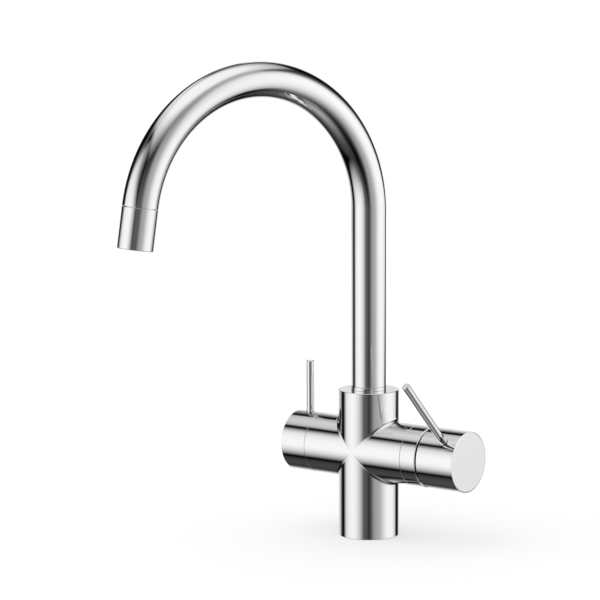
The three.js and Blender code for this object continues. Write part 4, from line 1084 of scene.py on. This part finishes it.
    def _ring(self) -> bpy.types.Mesh:
        """Turns the thin ring that the tube glides on.

        Returns:
            The ring, in place.
        """
        low, high = self.ring_bottom, self.ring_bottom + self.ring_height
        corners = [(self.ring_bore, low), (self.radius, low, self.ring_rounding)]
        corners += [(self.radius, high, self.ring_rounding), (self.ring_bore, high)]
        return turned("chrome_glide_ring", corners, closed=True)

    def _sleeve(self) -> bpy.types.Mesh:
        """Turns the outlet's sleeve with its spigot, its shoulder and its soft edges.

        Returns:
            The sleeve, in place.
        """
        bore, end, shoulder = self.radius - self.wall, self.sleeve_length, self.sleeve_shoulder
        spigot = bore - self.spigot_play
        upper, lower, mouth = self.sleeve_roundings
        corners = [
            (self.sleeve_bore, -self.sleeve_spigot), (spigot, -self.sleeve_spigot), (spigot, self.sleeve_gap),
            (self.radius, self.sleeve_gap, upper), (self.radius, end, lower), (bore, end, mouth),
            (bore, shoulder), (self.sleeve_bore, shoulder),
        ]
        return turned("chrome_outlet_sleeve", corners, self.outlet_frame(), closed=True)

    def _aerator(self, material: bpy.types.Material) -> bpy.types.Mesh:
        """Turns the aerator's plug and lets Geometry Nodes drill its two rings of jets.

        Args:
            material: The aerator's material.

        Returns:
            The aerator, in place.
        """
        inner, outer, length = self.aerator
        top, rim, mouth = self.aerator_roundings
        start, end = self.aerator_end - length, self.aerator_end
        corners = [(inner, start), (outer, start, top), (outer, end, rim), (inner, end, mouth)]
        plug = turned("aerator_plug", corners, segments=SMALL_SEGMENTS, closed=True)
        carrier = put(plug, "aerator_carrier")
        sizes: dict[str, float] = {"Jet Radius": self.jet_radius * MM, "Jet Length": self.jet_length * MM}
        sizes["Jet Sides"] = self.jet_sides
        for name, (pitch, count) in zip(("Inner", "Outer"), self.jet_rings):
            sizes |= {name + " Pitch Radius": pitch * MM, name + " Count": count}
        NodeRecipe("jet_rings", sizes, self._jet_tree).attach(carrier, material)
        mesh = bake(carrier, "aerator_face")
        place = self.outlet_frame()
        place.translation *= MM
        mesh.transform(place)
        return mesh

    @staticmethod
    def _jet_tree(tree: bpy.types.NodeTree, sizes: dict[str, Any]) -> bpy.types.Node:
        """Stands a slim rod on each point of two circles, and cuts all the rods out of the plug.

        Args:
            tree: The tree that gets the nodes.
            sizes: The sockets of the sizes and of the plug, by name.

        Returns:
            The node that gives the drilled plug.
        """
        slim = add_node(
            tree,
            "GeometryNodeMeshCylinder",
            Vertices=sizes["Jet Sides"],
            Radius=sizes["Jet Radius"],
            Depth=sizes["Jet Length"],
        )
        rods = []
        for name in ("Inner", "Outer"):
            count, radius = sizes[name + " Count"], sizes[name + " Pitch Radius"]
            points = add_node(tree, "GeometryNodeMeshCircle", Vertices=count, Radius=radius)
            rods.append(add_node(tree, "GeometryNodeInstanceOnPoints", Points=points, Instance=slim))
        joined = add_node(tree, "GeometryNodeJoinGeometry", Geometry=rods)
        real = add_node(tree, "GeometryNodeRealizeInstances", Geometry=joined)
        difference = {"operation": "DIFFERENCE", "solver": "EXACT"}
        return add_node(tree, "GeometryNodeMeshBoolean", difference, _0=sizes["Geometry"], _1=real)


# ---- Studio --------------------------------------------------------------------------------------


@dataclass(frozen=True)
class Card:
    """A flat card of the studio, far away, as the mirror finish sees it.

    The card stands square to its azimuth, which is counted from the front of the studio towards the right,
    and it is rolled anticlockwise. Its edges and their softness are slopes: the tangent of the angle from
    the point that the card faces.
    """

    azimuth: float
    left: float
    right: float
    bottom: float
    top: float
    soft_left: float
    soft_right: float
    soft_bottom: float
    soft_top: float
    roll: float
    level: float

    def edges(self) -> tuple[tuple[str, float, float], ...]:
        """Lists the edges of the card.

        Returns:
            The axis that each edge crosses, the slope at which it starts and the one at which it is full.
        """
        return (
            ("X", self.left - self.soft_left, self.left + self.soft_left),
            ("X", self.right + self.soft_right, self.right - self.soft_right),
            ("Z", self.bottom - self.soft_bottom, self.bottom + self.soft_bottom),
            ("Z", self.top + self.soft_top, self.top - self.soft_top),
        )


CARDS = (
    Card(-77.541, -3.028, 1.665, -1.074, 1.152, 0.407, 0.053, 0.135, 0.161, 2.482, 0.0),  # left frame
    Card(111.632, -0.668, 1.682, -0.981, 1.046, 0.034, 0.044, 0.05, 0.139, -13.246, 0.008),  # right frame
    Card(21.88, -0.404, 1.091, -2.27, -0.256, 0.108, 0.772, 2.122, 0.332, -14.887, 0.0),  # low gap
    Card(204.287, -0.916, 0.605, 0.788, 1.008, 0.162, 0.465, 0.049, 0.041, 19.343, 0.004),  # rear top dark
    Card(215.524, -1.632, -0.341, -0.898, 0.573, 1.2, 0.257, 0.406, 0.26, 0.283, 0.83),  # rear
    Card(-151.634, -1.111, 0.877, -0.358, -0.088, 0.032, 0.705, 0.258, 0.03, 11.145, 0.833),  # rear left low
    Card(-42.692, -2.406, -0.097, -0.718, 1.042, 0.094, 0.602, 0.416, 0.414, 9.69, 0.702),  # left window
    Card(-74.298, -0.459, 0.817, -0.318, 0.493, 0.828, 0.974, 0.249, 0.337, -21.604, 1.053),  # left core
    Card(77.507, -1.954, 1.489, -1.001, 0.945, 0.56, 0.28, 0.343, 1.124, -9.251, 0.169),  # right window
    Card(27.801, -0.13, 0.074, -0.632, 0.943, 0.121, 0.186, 0.486, 0.426, 2.485, 0.207),  # right panel
    Card(55.288, -0.067, 1.148, -0.851, 0.774, 1.438, 0.357, 1.121, 0.845, -3.516, 0.93),  # right mid
    Card(81.175, -0.476, 0.576, -0.485, 0.728, 0.374, 0.448, 0.568, 0.402, -0.356, 0.9),  # right bright
    Card(70.017, 0.027, 2.26, -0.217, 0.541, 0.216, 0.342, 0.567, 0.537, -8.562, 1.064),  # right core
    Card(0.897, 0.032, 0.065, -0.574, -0.049, 0.07, 0.065, 0.316, 0.274, -2.283, 0.043),  # front dark
    Card(-135.556, -0.876, 0.18, -0.058, 0.558, 0.03, 0.098, 0.227, 0.054, -0.991, 0.004),  # left far dark
    Card(-118.974, -0.951, 0.054, 0.894, 1.201, 0.134, 0.484, 0.296, 0.035, -0.585, 1.048),  # left far top
    Card(-109.389, -0.461, 0.109, -0.875, 0.001, 0.265, 0.192, 0.034, 0.03, 0.541, 0.003),  # left low dark
    Card(152.948, -0.487, 0.139, -0.161, 0.769, 0.224, 0.354, 0.078, 0.072, -20.57, 0.001),  # right far dark
    Card(92.335, -0.352, 0.314, -1.266, -0.917, 0.483, 0.088, 0.053, 0.122, 13.656, 0.0),  # right low spot
    Card(138.862, -0.327, -0.018, -0.892, -0.13, 0.163, 0.09, 0.159, 0.03, 11.126, 0.0),  # right rear low
)


@dataclass
class Studio:
    """The camera, the floor and the light of a product studio.

    Lengths are in millimetres and angles in degrees. The surround lists the level of light by elevation,
    from the floor to the ceiling. Matt pieces get one plain level from all round. A ray whose depth into a
    card's frame is under the grazing one passes beside the card.
    """

    axis_distance: float = 2305.3
    view_azimuth: float = 35.732
    eye_height: float = 517.3
    pitch: float = -8.093
    yaw: float = 1.344
    lens: float = 175.9
    sensor: float = 36.0
    far_clip: float = 20000.0
    floor_half: float = 6000.0
    floor_glow: float = 0.5
    lamp_strength: float = 0.5
    lamp_spread: float = 50.0
    lamp_way: tuple[float, float, float] = (1.2, 1.4, -2.6)
    matt_light: float = 0.92
    grazing: float = 0.001
    surround: tuple[tuple[float, float], ...] = (
        (-90, 0.440), (-72, 0.205), (-60, 0.079), (-50, 0.043), (-40, 0.015), (0, 0.115),
        (30, 0.027), (40, 0.246), (48, 0.494), (56, 0.727), (66, 0.957), (90, 0.979),
    )
    cards: tuple[Card, ...] = CARDS

    def build(self) -> None:
        """Sets up the camera, the floor, the lamp and the world."""
        self._camera()
        self._floor()
        self._lamp()
        self._world()
        bpy.context.scene.view_settings.view_transform = "Standard"

    def _camera(self) -> None:
        """Places the camera of the photograph: a long lens, slightly above the tap."""
        data = bpy.data.cameras.new("camera")
        data.lens, data.sensor_width, data.clip_end = self.lens, self.sensor, self.far_clip * MM
        camera = put(data, "camera")
        turn = math.radians(self.view_azimuth)
        camera.location = Vector((math.sin(turn), -math.cos(turn), 0)) * self.axis_distance * MM
        camera.location.z = self.eye_height * MM
        tilted = Matrix.Rotation(turn, 4, "Z") @ Matrix.Rotation(math.radians(90 + self.pitch), 4, "X")
        camera.rotation_euler = (tilted @ Matrix.Rotation(math.radians(self.yaw), 4, "Y")).to_euler()
        bpy.context.scene.camera = camera

    def _floor(self) -> None:
        """Lays a pale floor, which the mirror finish does not see."""
        half = self.floor_half * MM
        mesh = bpy.data.meshes.new("floor")
        corners = [(-half, -half, 0), (half, -half, 0), (half, half, 0), (-half, half, 0)]
        mesh.from_pydata(corners, [], [(0, 1, 2, 3)])
        # Uncoated white paper: matt, without sheen, so that it carries only the tap's faint shadow.
        material = bpy.data.materials.new("matt_white_paper")
        material.use_nodes = True
        tree = material.node_tree
        tree.nodes.clear()
        paper = add_node(tree, "ShaderNodeBsdfDiffuse", Color=linear("fefefe"))
        white = add_node(tree, "ShaderNodeEmission", Color=(1, 1, 1, 1), Strength=1.0)
        bleached = add_node(tree, "ShaderNodeMixShader", _0=self.floor_glow, _1=paper, _2=white)
        seen = add_node(tree, "ShaderNodeLightPath").outputs["Is Camera Ray"]
        chosen = add_node(tree, "ShaderNodeMixShader", _0=seen, _1=paper, _2=bleached)
        add_node(tree, "ShaderNodeOutputMaterial", Surface=chosen)
        mesh.materials.append(material)
        floor = put(mesh, "floor")
        floor.visible_glossy = False

    def _lamp(self) -> None:
        """Hangs a wide soft lamp high on the left, for the floor's shadow and the unplated pieces."""
        data = bpy.data.lights.new("soft_lamp", "SUN")
        data.energy, data.angle = self.lamp_strength, math.radians(self.lamp_spread)
        lamp = put(data, "soft_lamp")
        lamp.rotation_euler = Vector(self.lamp_way).to_track_quat("-Z", "Y").to_euler()
        lamp.visible_glossy = False

    def _world(self) -> None:
        """Paints the world: white for the camera, plain light for matt pieces, cards for the mirrors."""
        world = bpy.data.worlds.new("studio")
        bpy.context.scene.world = world
        world.use_nodes = True
        tree = world.node_tree
        tree.nodes.clear()
        path = add_node(tree, "ShaderNodeLightPath").outputs
        way = add_node(tree, "ShaderNodeTexCoord").outputs["Generated"]
        level = self._surround(tree, way)
        for card in self.cards:
            level = self._card(tree, way, card, level)
        glossy, clear, seen = (path[f"Is {name} Ray"] for name in ("Glossy", "Transmission", "Camera"))
        mirrors = add_node(tree, "ShaderNodeMath", {"operation": "MAXIMUM"}, _0=glossy, _1=clear)
        plain = add_node(tree, "ShaderNodeMath", {"operation": "MAXIMUM"}, _0=seen, _1=self.matt_light)
        strength = add_node(tree, "ShaderNodeMix", {"data_type": "FLOAT"}, _0=mirrors, _2=plain, _3=level)
        background = add_node(tree, "ShaderNodeBackground", Color=(1, 1, 1, 1), Strength=strength)
        add_node(tree, "ShaderNodeOutputWorld", Surface=background)

    def _surround(self, tree: bpy.types.NodeTree, way: bpy.types.NodeSocket) -> bpy.types.Node:
        """Shades the studio by height alone: a pale floor, dark walls and a white ceiling.

        Args:
            tree: The world's node tree.
            way: The direction of the ray.

        Returns:
            The node that gives the level of light.
        """
        height = add_node(tree, "ShaderNodeSeparateXYZ", Vector=way).outputs["Z"]
        risen = add_node(tree, "ShaderNodeMath", {"operation": "ARCSINE"}, _0=height)
        quarter = math.pi / 2
        share = add_node(tree, "ShaderNodeMapRange", Value=risen, From_Min=-quarter, From_Max=quarter)
        ramp = add_node(tree, "ShaderNodeValToRGB", Fac=share)
        stops = ramp.color_ramp.elements
        for elevation, _ in self.surround[1:-1]:
            stops.new((elevation + 90) / 180)
        for stop, (_, level) in zip(stops, self.surround):
            stop.color = (level, level, level, 1)
        return ramp

    def _card(
        self, tree: bpy.types.NodeTree, way: bpy.types.NodeSocket, card: Card, behind: bpy.types.Node
    ) -> bpy.types.Node:
        """Lays one card over the light behind it, with soft edges.

        Args:
            tree: The world's node tree.
            way: The direction of the ray.
            card: The card to lay.
            behind: The node that gives the level behind the card.

        Returns:
            The node that gives the level with the card in front.
        """
        # The card's own frame: the card stands at -Y, with its edges level and upright.
        turn = (0, -math.radians(card.roll), math.radians(self.view_azimuth + card.azimuth))
        into_card = {"rotation_type": "EULER_XYZ", "invert": True}
        facing = add_node(tree, "ShaderNodeVectorRotate", into_card, Vector=way, Rotation=turn)
        depth = add_node(tree, "ShaderNodeSeparateXYZ", Vector=facing).outputs["Y"]
        ahead = add_node(tree, "ShaderNodeMath", {"operation": "ABSOLUTE"}, _0=depth)
        flat = add_node(tree, "ShaderNodeVectorMath", {"operation": "DIVIDE"}, _0=facing, _1=ahead)
        slopes = add_node(tree, "ShaderNodeSeparateXYZ", Vector=flat).outputs
        share = add_node(tree, "ShaderNodeMath", {"operation": "LESS_THAN"}, _0=depth, _1=-self.grazing)
        smooth = {"interpolation_type": "SMOOTHSTEP"}
        for axis, none, full in card.edges():
            slope = slopes[axis]
            edge = add_node(tree, "ShaderNodeMapRange", smooth, Value=slope, From_Min=none, From_Max=full)
            share = add_node(tree, "ShaderNodeMath", {"operation": "MULTIPLY"}, _0=share, _1=edge)
        return add_node(tree, "ShaderNodeMix", {"data_type": "FLOAT"}, _0=share, _2=behind, _3=card.level)


# ---- The whole tap -------------------------------------------------------------------------------

FILTER_CONTROL = Control(
    "filter_knob", "filter_lever", Body.FILTER_KNOB, right=False, turn=0.0,
    start=46.85, end=70.0, wall=3.2, end_wall=3.5, boss_radius=8.5, rim=(0.65, 0.28), end_rim=(0.6, 0.25),
    lever_place=58.3, lever_tip=66.1, grub_place=58.3, square_end=65.5,
)
MIXER_CONTROL = Control(
    "mixer_cap", "mixer_lever", Body.MIXER_HANDLE, right=True, turn=math.radians(45),
    start=61.7, end=96.0, wall=3.4, end_wall=4.0, boss_radius=9.0, rim=(0.9, 0.7), end_rim=(0.75, 0.3),
    lever_place=83.8, lever_tip=97.0, grub_place=74.0, square_end=87.0, relief=math.radians(20),
)


def main() -> None:
    """Builds the tap piece by piece, then the studio."""
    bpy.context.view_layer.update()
    paintbox = Paintbox()
    paintbox.dress_nodes()
    shop = Workshop(paintbox)
    for maker in (CrossBody(), CoverRing(), FILTER_CONTROL, MIXER_CONTROL, SwanNeck()):
        for piece in maker.build(shop):
            LOG.info("%s: %d faces, by %s", piece.name, len(piece.data.polygons), type(maker).__name__)
    Studio().build()


if __name__ == "__main__":
    main()
